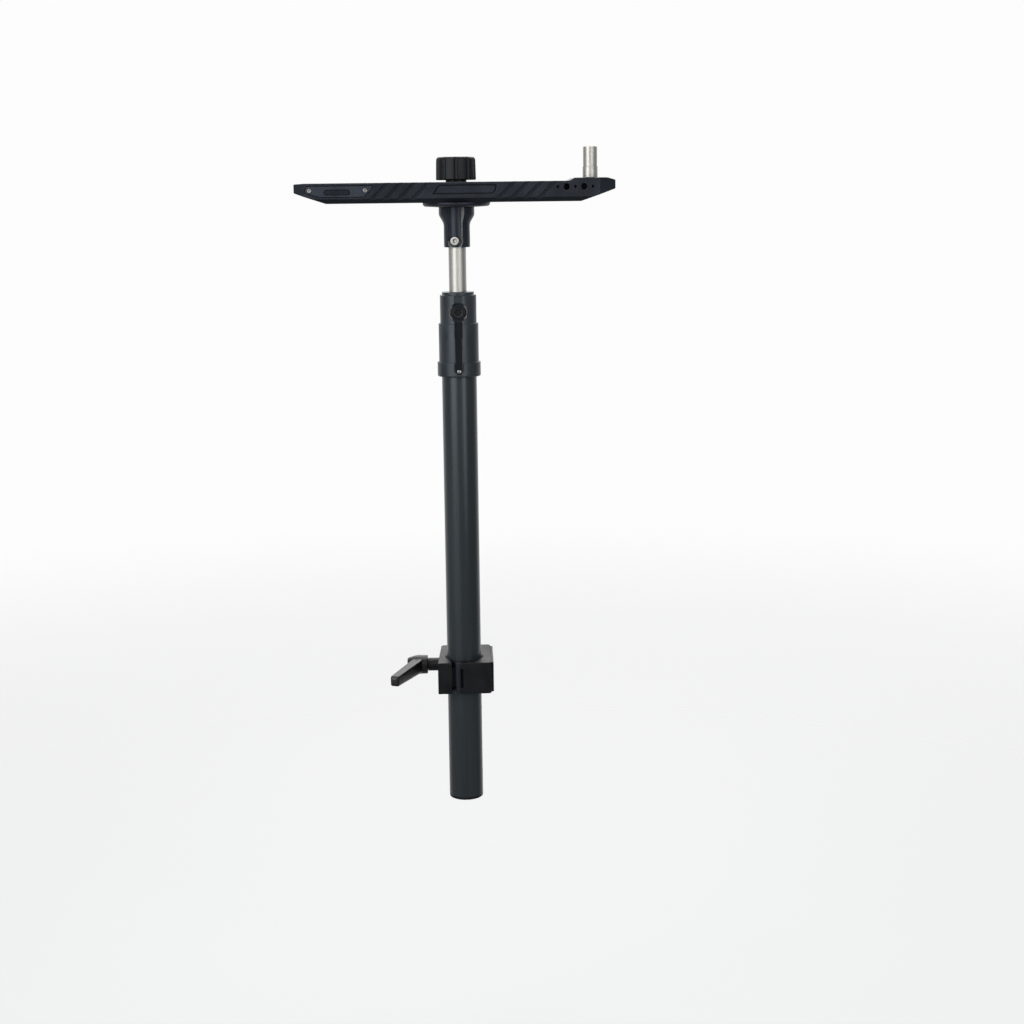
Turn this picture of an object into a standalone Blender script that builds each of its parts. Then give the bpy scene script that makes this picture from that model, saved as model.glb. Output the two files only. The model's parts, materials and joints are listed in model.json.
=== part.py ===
"""Stabilizer docking stand: a pole held in a hinged clamp, with a docking arm on top.

Metres, +Z up. The origin lies on the clamp's mounting face, level with the pole's axis and
at the clamp's mid-height. +X points out of that face, and the clamp's mouth looks along -Y.
"""
import math

import bmesh
import bpy
from mathutils import Matrix, Vector

# Clearances
SEAT = 0.0003
SLIP = 0.0003
THREAD_GAP = 0.0003

# Facets round a full circle
LARGE_STEPS = 32
SMALL_STEPS = 16

# Pole tube
TUBE_OD = 0.0320
TUBE_WALL = 0.0020
TUBE_ABOVE = 0.3277
TUBE_BELOW = 0.1203
PLUG_RIM = 0.0020
PLUG_DEPTH = 0.0180
PLUG_HOLLOW = 0.0100

# Pole head, from its foot up
HEAD_SOCKET_DEPTH = 0.0462
HEAD_WALL = 0.0019
RING_STEP = 0.0016
RING_HEIGHT = 0.0132
RING_ROUND = 0.0012
MID_HEIGHT = 0.0352
UPPER_STEP = 0.0016
UPPER_HEIGHT = 0.0258
CAP_STEP = 0.0020
CAP_HEIGHT = 0.0027
CHANNEL_WIDE = 0.0068
CHANNEL_NARROW = 0.0055
CHANNEL_DEPTH = 0.0011
CHANNEL_STEP_DOWN = 0.0127
SPOT_FACE_D = 0.0173
SPOT_FACE_DEPTH = 0.0034
HEAD_SCREW_DROP = 0.0181
HEAD_SCREW_HEAD_D = 0.0120
HEAD_SCREW_HEAD_H = 0.0046
HEAD_SCREW_SHANK_D = 0.0080
HEAD_SCREW_HEX = 0.0060
HEAD_SCREW_HEX_DEPTH = 0.0026
RIVET_D = 0.0046
RIVET_RISE = 0.0049
RIVET_PROUD = 0.0006

# Spigot
SPIGOT_D = 0.0159
SPIGOT_IN_HEAD = 0.0600
SPIGOT_SHOWS = 0.0402
SPIGOT_TIP_EDGE = 0.0008

# Receiver
RECEIVER_BORE_DEPTH = 0.0240
RECEIVER_WALL = 0.0036
BARREL_HEIGHT = 0.0213
FLARE_HEIGHT = 0.0074
FLANGE_OUT = 0.0043
FLANGE_HEIGHT = 0.0068
RECEIVER_EDGE = 0.0008
RECESS_WIDTH = 0.0134
RECESS_DEPTH = 0.0022
RECEIVER_SCREW_RISE = 0.0058
RECEIVER_SCREW_TURN = math.radians(10)
RECEIVER_SCREW_HEAD_D = 0.0079
RECEIVER_SCREW_HEAD_H = 0.0026
RECEIVER_SCREW_SHANK_D = 0.0050
RECEIVER_SCREW_HEX = 0.0030
RECEIVER_SCREW_HEX_DEPTH = 0.0015

# Swivel disc and the stud that the knob pulls on
DISC_D = 0.0610
DISC_THICK = 0.0040
DISC_RIM = 0.0006
DISC_ROUND = 0.0028
STUD_D = 0.0100
STUD_IN_RECEIVER = 0.0085
STUD_IN_KNOB = 0.0130
STUD_EDGE = 0.0008
RING_GROOVE_WIDTH = 0.0080
RING_GROOVE_FROM_RIM = 0.0025
RING_THICK = 0.0010
DISC_SCREWS = 3
DISC_SCREW_CIRCLE = 0.0225
DISC_SCREW_HEAD_D = 0.0064
DISC_SCREW_HEAD_H = 0.0018
DISC_SCREW_SHANK_D = 0.0034
DISC_SCREW_LENGTH = 0.0080
DISC_SCREW_HEX = 0.0020

# Docking arm
ARM_LEFT = 0.1447
ARM_RIGHT = 0.1425
ARM_DEPTH = 0.0620
ARM_THICK = 0.0180
ARM_LOWER_EDGE = 0.0040
LEFT_RAMP_LENGTH = 0.0290
RIGHT_RAMP_LENGTH = 0.0312
END_FACE_HEIGHT = 0.0078
LEFT_END_DROP = 0.0006
LEFT_CORNER = 0.0103
RIGHT_CORNER = 0.0147
CORNER_DEPTH = 0.0100
PAD_HEIGHT = 0.0026
PAD_FLAT_START = 0.1055
PAD_FLAT_END = 0.1349
PAD_SLOPE = 0.0054
PAD_END_DROP = 0.0021
FORK_WIDTH = 0.0320
FORK_REACH = 0.0520
FORK_LEAD_IN = 0.0040

# Machined detail on the arm's two long faces
GROOVE_PITCH = 0.0121
GROOVE_WIDTH = 0.0050
GROOVE_DEPTH = 0.0012
GROOVE_LEAN = 0.0143
GROOVES_A_SIDE = 4
LEFT_GROOVE_START = 0.0261
RIGHT_GROOVE_START = 0.0500
PANEL_LEFT = 0.0154
PANEL_RIGHT = 0.0375
PANEL_LEFT_SLANT = 0.0061
PANEL_RIGHT_SLANT = 0.0040
PANEL_TOP_EDGE = 0.0022
PANEL_HEIGHT = 0.0087
PANEL_DEPTH = 0.0010
TAPPED_HOLE_D = 0.0060
TAPPED_HOLE_DEPTH = 0.0120
PIN_HOLE_D = 0.0028
PIN_HOLE_DEPTH = 0.0050
ROW_START = 0.0903
ROW_PITCH = 0.0078
ROW_HOLES = 5
ROW_DROP = 0.0052

# Badge plate, bare
BADGE_LEFT = 0.1341
BADGE_RIGHT = 0.0746
BADGE_TOP_EDGE = 0.0028
BADGE_HEIGHT = 0.0092
BADGE_LEFT_FOOT = 0.0130
BADGE_RIGHT_FOOT = 0.0070
BADGE_SHOULDER = 0.0050
BADGE_THICK = 0.0016
BADGE_INSET = 0.0001
BADGE_SLOT_LEFT = 0.1172
BADGE_SLOT_RIGHT = 0.0936
BADGE_SLOT_HEIGHT = 0.0052
BADGE_SLOT_DEPTH = 0.0004
BADGE_SCREW_LEFT = 0.1300
BADGE_SCREW_RIGHT = 0.0806
BADGE_SCREW_DROP = 0.0037
BADGE_SCREW_HEAD_D = 0.0038
BADGE_SCREW_HEAD_H = 0.0012
BADGE_SCREW_SHANK_D = 0.0022
BADGE_SCREW_LENGTH = 0.0060
BADGE_SCREW_SINK = 0.0008
BADGE_SCREW_HEX = 0.0015

# Balance stud
BALANCE_D = 0.0127
BALANCE_HEIGHT = 0.0275
BALANCE_AT = 0.1213
BALANCE_EDGE = 0.0008
BALANCE_FOOT_STEP = 0.0004
BALANCE_FOOT_HEIGHT = 0.0100
BALANCE_SHANK_D = 0.0080
BALANCE_SHANK_LENGTH = 0.0120

# Knob
KNOB_D = 0.0362
KNOB_HEIGHT = 0.0205
KNOB_FLUTES = 10
KNOB_FLUTE_DEPTH = 0.0013
KNOB_FLUTE_SHARE = 0.34
KNOB_TOP_ROUND = 0.0030
KNOB_FOOT_ROUND = 0.0012
KNOB_TOP_TAPER = 0.0004
POINTS_A_FLUTE = 6
INSERT_WALL = 0.0024
INSERT_LENGTH = 0.0150
WASHER_D = 0.0190
WASHER_THICK = 0.0012

# Clamp
CLAMP_HEIGHT = 0.0300
LINER_THICK = 0.0010
JAW_WALL = 0.0071
BODY_WALL = 0.0078
FRONT_WALL = 0.0071
REAR_WEB = 0.0069
REAR_PAST_STUD = 0.0145
BODY_CORNER = 0.0033
JAW_CORNER = 0.0040
JAW_FRONT_CORNER = 0.0008
JAW_TAPER = 0.0026
SLIT = 0.0022
MOUTH_LEFT = 0.0118
HINGE_X = -0.0056
HINGE_PIN_D = 0.0024
KNUCKLE_WALL = 0.0014
KNUCKLE_INSET = 0.0002
KNUCKLE_SPAN = 0.0181
NOTCH_RIGHT = 0.0049
NOTCH_DEPTH = 0.0045
FINGER_INSET = 0.0042
PLATE_THICK = 0.0018
PLATE_INSET = 0.0006
PLATE_SCREW_END = 0.0098
PLATE_SCREW_HEAD_D = 0.0064
PLATE_SCREW_HEAD_H = 0.0014
PLATE_SCREW_SHANK_D = 0.0034
PLATE_SCREW_LENGTH = 0.0060
PLATE_SCREW_HEX = 0.0020
MOUNT_HOLE_D = 0.0060
MOUNT_HOLE_DEPTH = 0.0075
MOUNT_HOLE_SPACING = 0.0180
MOUNT_HOLE_Y = 0.0092

# Indexing lever
LEVER_STUD_D = 0.0080
LEVER_STUD_REACH = 0.0120
LEVER_SWING_GAP = 0.0009
NECK_D = 0.0124
NECK_LENGTH = 0.0106
LEVER_WASHER_THICK = 0.0012
HUB_D = 0.0183
HUB_FOOT_D = 0.0178
HUB_STRAIGHT = 0.0115
HUB_DOME = 0.0081
HUB_END_D = 0.0122
SPLINE_SIDES = 12
SPLINE_D = 0.0100
SPLINE_LENGTH = 0.0045
LEVER_TAP_DEPTH = 0.0100
HUB_WEB = 0.0018
SPRING_BORE_D = 0.0092
SPRING_D = 0.0078
SPRING_WIRE = 0.0008
SPRING_TURNS = 3
LEVER_SCREW_SHANK_D = 0.0044
LEVER_SCREW_HEAD_D = 0.0082
LEVER_SCREW_HEAD_H = 0.0018
LEVER_SCREW_SUNK = 0.0012
LEVER_SCREW_HEX = 0.0025
LEVER_REACH = 0.0600
LEVER_SLANT = 0.0200
LEVER_ROOT_WIDE = 0.0098
LEVER_TIP_WIDE = 0.0070
LEVER_ROOT_TALL = 0.0120
LEVER_TIP_TALL = 0.0098

# Heights and places that follow from the sizes
BORE_R = TUBE_OD / 2 + SLIP + LINER_THICK + SEAT
CLAMP_LEFT = BORE_R + JAW_WALL
CLAMP_RIGHT = BORE_R + BODY_WALL
CLAMP_FRONT = BORE_R + FRONT_WALL
LEVER_Y = BORE_R + REAR_WEB + LEVER_STUD_D / 2
CLAMP_REAR = LEVER_Y + REAR_PAST_STUD
POLE_X = -(CLAMP_RIGHT + SEAT + PLATE_THICK)
KNUCKLE_R = HINGE_PIN_D / 2 + SLIP + KNUCKLE_WALL
HINGE_Y = -(CLAMP_FRONT - KNUCKLE_INSET - KNUCKLE_R)

HEAD_FOOT_Z = TUBE_ABOVE + SEAT - HEAD_SOCKET_DEPTH
HEAD_R = TUBE_OD / 2 + SEAT + HEAD_WALL
UPPER_R = HEAD_R - UPPER_STEP
MID_Z = HEAD_FOOT_Z + RING_HEIGHT
UPPER_Z = MID_Z + MID_HEIGHT
CAP_Z = UPPER_Z + UPPER_HEIGHT
HEAD_TOP_Z = CAP_Z + CAP_HEIGHT
HEAD_SCREW_Z = HEAD_TOP_Z - HEAD_SCREW_DROP

SPIGOT_R = SPIGOT_D / 2
RECEIVER_Z = HEAD_TOP_Z + SPIGOT_SHOWS
RECEIVER_R = SPIGOT_R + SLIP + RECEIVER_WALL
FLARE_Z = RECEIVER_Z + BARREL_HEIGHT
FLANGE_Z = FLARE_Z + FLARE_HEIGHT
RECEIVER_TOP_Z = FLANGE_Z + FLANGE_HEIGHT
SPIGOT_TOP_Z = RECEIVER_Z + RECEIVER_BORE_DEPTH - SEAT
RECEIVER_SCREW_Z = RECEIVER_Z + RECEIVER_SCREW_RISE

DISC_Z = RECEIVER_TOP_Z + SEAT
ARM_Z = DISC_Z + DISC_THICK + SEAT
ARM_TOP_Z = ARM_Z + ARM_THICK
PAD_Z = ARM_TOP_Z + PAD_HEIGHT
WASHER_Z = ARM_TOP_Z + SEAT
KNOB_Z = WASHER_Z + WASHER_THICK + SEAT
STUD_BORE_R = STUD_D / 2 + THREAD_GAP

SEAT_REAR = CLAMP_FRONT + LEVER_Y + NECK_D / 2
NECK_X = -(CLAMP_LEFT - JAW_TAPER * SEAT_REAR / (CLAMP_FRONT + CLAMP_REAR))
HUB_X = NECK_X - SEAT - LEVER_WASHER_THICK - SEAT - NECK_LENGTH - SEAT
HUB_END_X = HUB_X - HUB_STRAIGHT - HUB_DOME

places = {}


def material(name, color, roughness, metallic):
    """A Principled BSDF with one colour."""
    made = bpy.data.materials.new(name)
    made.use_nodes = True
    shader = made.node_tree.nodes["Principled BSDF"]
    shader.inputs["Base Color"].default_value = (*color, 1.0)
    shader.inputs["Roughness"].default_value = roughness
    shader.inputs["Metallic"].default_value = metallic
    return made


def put(thing, at, parent=None):
    """Stands an object at a world point, under a parent that isn't turned."""
    bpy.context.collection.objects.link(thing)
    places[thing.name] = Vector(at)
    thing.parent = parent
    thing.location = Vector(at) - (places[parent.name] if parent else Vector())
    return thing


def pivot(name, at, parent=None):
    """An empty on the axis of a joint, which carries the pieces that move there."""
    return put(bpy.data.objects.new(name, None), at, parent)


def piece(name, shape, at, parent, finish=None):
    """An object made of a bmesh whose coordinates count from the object's own origin."""
    bmesh.ops.recalc_face_normals(shape, faces=shape.faces)
    mesh = bpy.data.meshes.new(name)
    shape.to_mesh(mesh)
    shape.free()
    mesh.shade_smooth()
    mesh.set_sharp_from_angle(angle=math.radians(35))
    made = put(bpy.data.objects.new(name, mesh), at, parent)
    if finish:
        color, roughness, metallic = finish
        mesh.materials.append(material(name, color, roughness, metallic))
    return made


def combine(target, shape, operation):
    """Adds a Boolean modifier with a hidden guide that sits where its target sits."""
    guide = piece(f"{target.name}_guide_{len(target.modifiers)}", shape, places[target.name], target.parent)
    guide.hide_render = True
    guide.display_type = "WIRE"
    step = target.modifiers.new(operation.lower(), "BOOLEAN")
    step.operation = operation
    step.object = guide
    step.solver = "EXACT"


def cut(target, *shapes):
    """Takes each shape out of the target."""
    for shape in shapes:
        combine(target, shape, "DIFFERENCE")


def turned(profile, steps=LARGE_STEPS, ring=False):
    """Turns a profile of (radius, height) points about Z, closed to a ring for a bored piece."""
    shape = bmesh.new()
    points = [shape.verts.new((radius, 0, height)) for radius, height in profile]
    pairs = list(zip(points, points[1:]))
    if ring:
        pairs.append((points[-1], points[0]))
    edges = [shape.edges.new(pair) for pair in pairs]
    bmesh.ops.spin(
        shape, geom=points + edges, cent=(0, 0, 0), axis=(0, 0, 1),
        angle=math.tau, steps=steps, use_merge=True,
    )
    bmesh.ops.remove_doubles(shape, verts=shape.verts, dist=1e-6)
    bmesh.ops.recalc_face_normals(shape, faces=shape.faces)
    return shape


def cylinder(radius, low, high, steps=SMALL_STEPS):
    """A plain round bar along Z."""
    return turned([(0, low), (radius, low), (radius, high), (0, high)], steps)


def prism(outline, low, high):
    """Raises a flat outline of (x, y) points from one height to another."""
    shape = bmesh.new()
    floor = shape.faces.new([shape.verts.new((x, y, low)) for x, y in outline])
    raised = bmesh.ops.extrude_face_region(shape, geom=[floor])["geom"]
    corners = [item for item in raised if isinstance(item, bmesh.types.BMVert)]
    bmesh.ops.translate(shape, verts=corners, vec=(0, 0, high - low))
    bmesh.ops.recalc_face_normals(shape, faces=shape.faces)
    return shape


def block(low, high):
    """A box between two opposite corners."""
    outline = [(low[0], low[1]), (high[0], low[1]), (high[0], high[1]), (low[0], high[1])]
    return prism(outline, low[2], high[2])


def lofted(rings):
    """Bridges loops of equally many points, and closes both ends."""
    shape = bmesh.new()
    loops = [[shape.verts.new(point) for point in ring] for ring in rings]
    count = len(loops[0])
    for lower, upper in zip(loops, loops[1:]):
        for i in range(count):
            j = (i + 1) % count
            shape.faces.new((lower[i], lower[j], upper[j], upper[i]))
    shape.faces.new(loops[0])
    shape.faces.new(loops[-1])
    bmesh.ops.recalc_face_normals(shape, faces=shape.faces)
    return shape


def posed(shape, turn=None, shift=None):
    """Turns a shape about its origin, then shifts it."""
    if turn:
        bmesh.ops.rotate(shape, verts=shape.verts, cent=(0, 0, 0), matrix=turn)
    if shift:
        bmesh.ops.translate(shape, verts=shape.verts, vec=shift)
    return shape


def merged(shapes):
    """Holds shapes that don't meet in one mesh, for a cutter with many tools."""
    whole = bmesh.new()
    for shape in shapes:
        mesh = bpy.data.meshes.new("tool")
        shape.to_mesh(mesh)
        shape.free()
        whole.from_mesh(mesh)
        bpy.data.meshes.remove(mesh)
    return whole


def arc(centre, radius, start, end, steps):
    """Points on an arc, from one angle to another, both included."""
    angles = [start + (end - start) * i / steps for i in range(steps + 1)]
    return [(centre[0] + radius * math.cos(a), centre[1] + radius * math.sin(a)) for a in angles]


# Turns that lay a shape made along Z on another axis
TO_FRONT = Matrix.Rotation(math.radians(90), 3, "X")
TO_LEFT = Matrix.Rotation(math.radians(-90), 3, "Y")
TO_RIGHT = Matrix.Rotation(math.radians(90), 3, "Y")


def socket_screw(head_r, head_h, shank_r, length, hex_width, hex_depth, edge=0.0004):
    """A screw along Z with its shank down and a hexagon socket in its head; Z is 0 under the head."""
    hex_r = hex_width / math.sqrt(3)
    outside = [
        (0, -length), (shank_r - edge, -length), (shank_r, -length + edge), (shank_r, 0),
        (head_r, 0), (head_r, head_h - edge), (head_r - edge, head_h), (0, head_h),
    ]
    return turned(outside, SMALL_STEPS), cylinder(hex_r, head_h - hex_depth, head_h + hex_depth, 6)


def countersunk_screw(head_r, head_h, shank_r, length, hex_width):
    """A flat-headed screw along Z; Z is 0 at the top of its head."""
    hex_r = hex_width / math.sqrt(3)
    outside = [(0, -length), (shank_r, -length), (shank_r, -head_h), (head_r, 0), (0, 0)]
    return turned(outside, SMALL_STEPS), cylinder(hex_r, -head_h * 0.6, head_h, 6)


def countersink(head_r, head_h, shank_r, depth):
    """The cutter for a flat-headed screw that ends just below the face; Z is 0 on the face."""
    hole, rim = shank_r + SEAT, head_r + SEAT
    outside = [(0, -depth), (hole, -depth), (hole, -SEAT - head_h), (rim, -SEAT), (rim, SEAT), (0, SEAT)]
    return turned(outside, SMALL_STEPS)


def screw(name, shapes, at, parent, finish, turn=None):
    """Makes a screw's object and sinks its socket."""
    body, socket = shapes
    made = piece(name, posed(body, turn), at, parent, finish)
    cut(made, posed(socket, turn))
    return made


ANODISED = ((0.028, 0.030, 0.033), 0.42, 0.6)
CAST_BLACK = ((0.030, 0.033, 0.036), 0.50, 0.3)
TUBE_BLACK = ((0.022, 0.030, 0.033), 0.30, 0.5)
STAINLESS = ((0.62, 0.61, 0.58), 0.22, 1.0)
BLACK_STEEL = ((0.020, 0.020, 0.021), 0.38, 0.8)
PLASTIC = ((0.024, 0.025, 0.027), 0.55, 0.0)
BRASS = ((0.66, 0.52, 0.27), 0.30, 1.0)
NYLON = ((0.05, 0.05, 0.05), 0.60, 0.0)
SPRING_STEEL = ((0.50, 0.50, 0.49), 0.30, 1.0)


def clear_scene():
    for thing in list(bpy.data.objects):
        bpy.data.objects.remove(thing, do_unlink=True)


def clamp_outline_right():
    """Plan of the fixed half, from the mouth round the outside and back along the bore."""
    slit_x = HINGE_X + SLIT / 2
    bore_rear = math.acos(slit_x / BORE_R)
    bore_front = -math.acos((HINGE_X + SLIT / 2) / BORE_R)
    corner = BODY_CORNER
    return [
        (slit_x, -CLAMP_FRONT),
        *arc((CLAMP_RIGHT - corner, -CLAMP_FRONT + corner), corner, -math.pi / 2, 0, 5),
        *arc((CLAMP_RIGHT - corner, CLAMP_REAR - corner), corner, 0, math.pi / 2, 5),
        (slit_x, CLAMP_REAR),
        *arc((0, 0), BORE_R, bore_rear, bore_front, 30),
    ]


def clamp_outline_left():
    """Plan of the hinged half, which narrows towards its rear."""
    slit_x = HINGE_X - SLIT / 2
    rear_left = -CLAMP_LEFT + JAW_TAPER
    rear_arc = math.acos(slit_x / BORE_R)
    mouth_arc = math.tau - math.acos(-MOUTH_LEFT / BORE_R)
    edge = JAW_FRONT_CORNER
    return [
        (-MOUTH_LEFT, -CLAMP_FRONT),
        *arc((-CLAMP_LEFT + edge, -CLAMP_FRONT + edge), edge, -math.pi / 2, -math.pi, 3),
        *arc((rear_left + JAW_CORNER, CLAMP_REAR - JAW_CORNER), JAW_CORNER, math.pi, math.pi / 2, 5),
        (slit_x, CLAMP_REAR),
        *arc((0, 0), BORE_R, rear_arc, mouth_arc, 22),
    ]


def knuckle(low, high):
    """A hinge knuckle about the object's own Z axis, without its bore."""
    return cylinder(KNUCKLE_R, low, high)


def make_clamp_body(parent):
    """The fixed half: outer knuckles, a notch for the middle one, the lever's thread and the mount."""
    half = CLAMP_HEIGHT / 2
    body = piece("clamp_body", prism(clamp_outline_right(), -half, half), (POLE_X, 0, 0), parent, ANODISED)
    span = KNUCKLE_SPAN / 2
    hinge = (HINGE_X, HINGE_Y, 0)
    for low, high in ((span, half), (-half, -span)):
        combine(body, posed(knuckle(low, high), shift=hinge), "UNION")
    free_x = HINGE_X + KNUCKLE_R + SLIP
    notch_right = HINGE_X + NOTCH_RIGHT
    front, rear = -CLAMP_FRONT - SEAT, -CLAMP_FRONT + NOTCH_DEPTH
    behind = HINGE_Y + KNUCKLE_R + SLIP
    cut(
        body,
        block((HINGE_X - KNUCKLE_R - SLIP, front, -span), (free_x, behind, span)),
        block((free_x - SLIP, front, -span), (notch_right, rear, span)),
        posed(cylinder(HINGE_PIN_D / 2 + SLIP, -half - SEAT, half + SEAT, 14), shift=hinge),
        lever_bore(LEVER_STUD_D / 2 + THREAD_GAP, HINGE_X, LEVER_STUD_REACH + SEAT),
        mount_holes(),
    )
    return body


def lever_bore(radius, low, high):
    """A bore on the lever's axis between two X positions, counted from the pole's axis."""
    return posed(cylinder(radius, low, high), TO_RIGHT, (0, LEVER_Y, 0))


def plate_screw_places():
    """Y positions of the screws that hold the plate, counted from the pole's axis."""
    return (-CLAMP_FRONT + PLATE_SCREW_END, CLAMP_REAR - PLATE_SCREW_END)


def mount_holes():
    """Threads in the body for the plate's two screws and for the cart's two bolts."""
    tools = []
    for y in plate_screw_places():
        length = PLATE_SCREW_LENGTH + SEAT
        hole = cylinder(PLATE_SCREW_SHANK_D / 2 + THREAD_GAP, CLAMP_RIGHT - length, CLAMP_RIGHT + SEAT, 16)
        tools.append(posed(hole, TO_RIGHT, (0, y, 0)))
    for z in (-MOUNT_HOLE_SPACING / 2, MOUNT_HOLE_SPACING / 2):
        hole = cylinder(MOUNT_HOLE_D / 2, CLAMP_RIGHT - MOUNT_HOLE_DEPTH, CLAMP_RIGHT + SEAT)
        tools.append(posed(hole, TO_RIGHT, (0, MOUNT_HOLE_Y, z)))
    return merged(tools)


def make_back_plate(parent):
    """The steel plate between the body and the wall that carries the stand, and its screws."""
    half = CLAMP_HEIGHT / 2 - PLATE_INSET
    low = (-PLATE_THICK, -CLAMP_FRONT + BODY_CORNER + PLATE_INSET, -half)
    high = (0, CLAMP_REAR - BODY_CORNER - PLATE_INSET, half)
    plate = piece("back_plate", block(low, high), (0, 0, 0), parent, BLACK_STEEL)
    head_r, shank_r = PLATE_SCREW_HEAD_D / 2, PLATE_SCREW_SHANK_D / 2
    tools = [
        posed(countersink(head_r, PLATE_SCREW_HEAD_H, shank_r, 2 * PLATE_THICK), TO_RIGHT, (0, y, 0))
        for y in plate_screw_places()
    ]
    for z in (-MOUNT_HOLE_SPACING / 2, MOUNT_HOLE_SPACING / 2):
        hole = cylinder(MOUNT_HOLE_D / 2 + SEAT, -PLATE_THICK - SEAT, SEAT)
        tools.append(posed(hole, TO_RIGHT, (0, MOUNT_HOLE_Y, z)))
    cut(plate, merged(tools))
    for place, y in zip(("front", "rear"), plate_screw_places()):
        shapes = countersunk_screw(head_r, PLATE_SCREW_HEAD_H, shank_r, PLATE_SCREW_LENGTH, PLATE_SCREW_HEX)
        screw(f"plate_screw_{place}", shapes, (-SEAT, y, 0), parent, BLACK_STEEL, TO_RIGHT)


def make_clamp_jaw(parent):
    """The hinged half: the middle knuckle on its finger, and a hole and a seat for the lever's stud."""
    half = CLAMP_HEIGHT / 2
    span = KNUCKLE_SPAN / 2 - SLIP
    to_pole = Vector((-HINGE_X, -HINGE_Y, 0))
    outline = [(x + to_pole.x, y + to_pole.y) for x, y in clamp_outline_left()]
    jaw = piece("clamp_jaw", prism(outline, -half, half), (POLE_X + HINGE_X, HINGE_Y, 0), parent, ANODISED)
    mouth_arc = math.acos(-MOUTH_LEFT / BORE_R)
    finger_end = HINGE_X - KNUCKLE_WALL / 2
    knuckle_arc = math.acos(finger_end / BORE_R)
    finger_y = -CLAMP_FRONT + FINGER_INSET
    finger = [
        (-MOUTH_LEFT - KNUCKLE_WALL, finger_y),
        (finger_end, finger_y),
        *arc((0, 0), BORE_R, -knuckle_arc, -mouth_arc, 6),
        (-MOUTH_LEFT - KNUCKLE_WALL, BORE_R * math.sin(-mouth_arc)),
    ]
    finger = [(x + to_pole.x, y + to_pole.y) for x, y in finger]
    combine(jaw, prism(finger, -span, span), "UNION")
    combine(jaw, knuckle(-span, span), "UNION")
    cut(
        jaw,
        cylinder(HINGE_PIN_D / 2 + SLIP, -half, half, 16),
        posed(lever_bore(LEVER_STUD_D / 2 + LEVER_SWING_GAP, -CLAMP_LEFT - SEAT, 0), shift=to_pole),
        posed(lever_bore(NECK_D / 2 + LEVER_SWING_GAP, -CLAMP_LEFT - SEAT, NECK_X), shift=to_pole),
    )
    return jaw


def make_hinge_pin(parent):
    """The pin through the three knuckles."""
    half = CLAMP_HEIGHT / 2 - SEAT
    radius = HINGE_PIN_D / 2
    profile = [(0, -half), (radius, -half), (radius, half), (0, half)]
    piece("hinge_pin", turned(profile, 16), (POLE_X + HINGE_X, HINGE_Y, 0), parent, STAINLESS)


def make_liner(name, parent, start, end, at):
    """A thin curved strip between the tube and one half of the clamp."""
    half = CLAMP_HEIGHT / 2
    inner = TUBE_OD / 2 + SLIP
    outer = inner + LINER_THICK
    steps = round((end - start) / math.tau * LARGE_STEPS)
    outline = arc((0, 0), outer, start, end, steps) + arc((0, 0), inner, end, start, steps)
    shift = (POLE_X - at[0], -at[1])
    outline = [(x + shift[0], y + shift[1]) for x, y in outline]
    piece(name, prism(outline, -half, half), at, parent, NYLON)


def make_lever(washer_axis, stud_axis, handle_axis):
    """Washer, splined stud, handle, spring and retaining screw, all on the lever's axis along X."""
    axis = (POLE_X, LEVER_Y, 0)
    washer_x = NECK_X - SEAT
    ring_r = LEVER_STUD_D / 2 + LEVER_SWING_GAP
    washer = turned(
        [(ring_r, 0), (NECK_D / 2, 0), (NECK_D / 2, LEVER_WASHER_THICK), (ring_r, LEVER_WASHER_THICK)],
        ring=True)
    piece("lever_washer", posed(washer, TO_LEFT, (washer_x, 0, 0)), axis, washer_axis, BLACK_STEEL)

    neck_x = washer_x - LEVER_WASHER_THICK - SEAT
    spline_r = SPLINE_D / 2
    stud_r = LEVER_STUD_D / 2
    edge = STUD_EDGE
    thread_end = neck_x - LEVER_STUD_REACH
    shaft = turned(
        [(0, thread_end), (stud_r - edge, thread_end), (stud_r, thread_end + edge), (stud_r, 0),
         (NECK_D / 2, 0), (NECK_D / 2, NECK_LENGTH), (0, NECK_LENGTH)])
    stud = piece("lever_stud", posed(shaft, TO_LEFT, (neck_x, 0, 0)), axis, stud_axis, BLACK_STEEL)
    spline = cylinder(spline_r, NECK_LENGTH - edge, NECK_LENGTH + SEAT + SPLINE_LENGTH, SPLINE_SIDES)
    combine(stud, posed(spline, TO_LEFT, (neck_x, 0, 0)), "UNION")
    tap_start = NECK_LENGTH + SEAT + SPLINE_LENGTH - LEVER_TAP_DEPTH
    tap = cylinder(LEVER_SCREW_SHANK_D / 2 + THREAD_GAP, tap_start, NECK_LENGTH + 2 * SPLINE_LENGTH, 16)
    cut(stud, posed(tap, TO_LEFT, (neck_x, 0, 0)))

    make_lever_handle(axis, handle_axis)

    web_x = -SEAT - SPLINE_LENGTH - SEAT - HUB_WEB
    head_x = -(HUB_STRAIGHT + HUB_DOME) + LEVER_SCREW_SUNK + LEVER_SCREW_HEAD_H
    shank = HUB_X + head_x - (neck_x - tap_start - SEAT)
    shapes = socket_screw(
        LEVER_SCREW_HEAD_D / 2, LEVER_SCREW_HEAD_H, LEVER_SCREW_SHANK_D / 2, abs(shank),
        LEVER_SCREW_HEX, LEVER_SCREW_HEAD_H * 0.6)
    shapes = [posed(shape, TO_LEFT, (HUB_X + head_x, 0, 0)) for shape in shapes]
    screw("lever_screw", shapes, axis, stud_axis, BLACK_STEEL)
    make_spring(axis, stud_axis, HUB_X + web_x - SEAT, HUB_X + head_x + SEAT)


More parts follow.
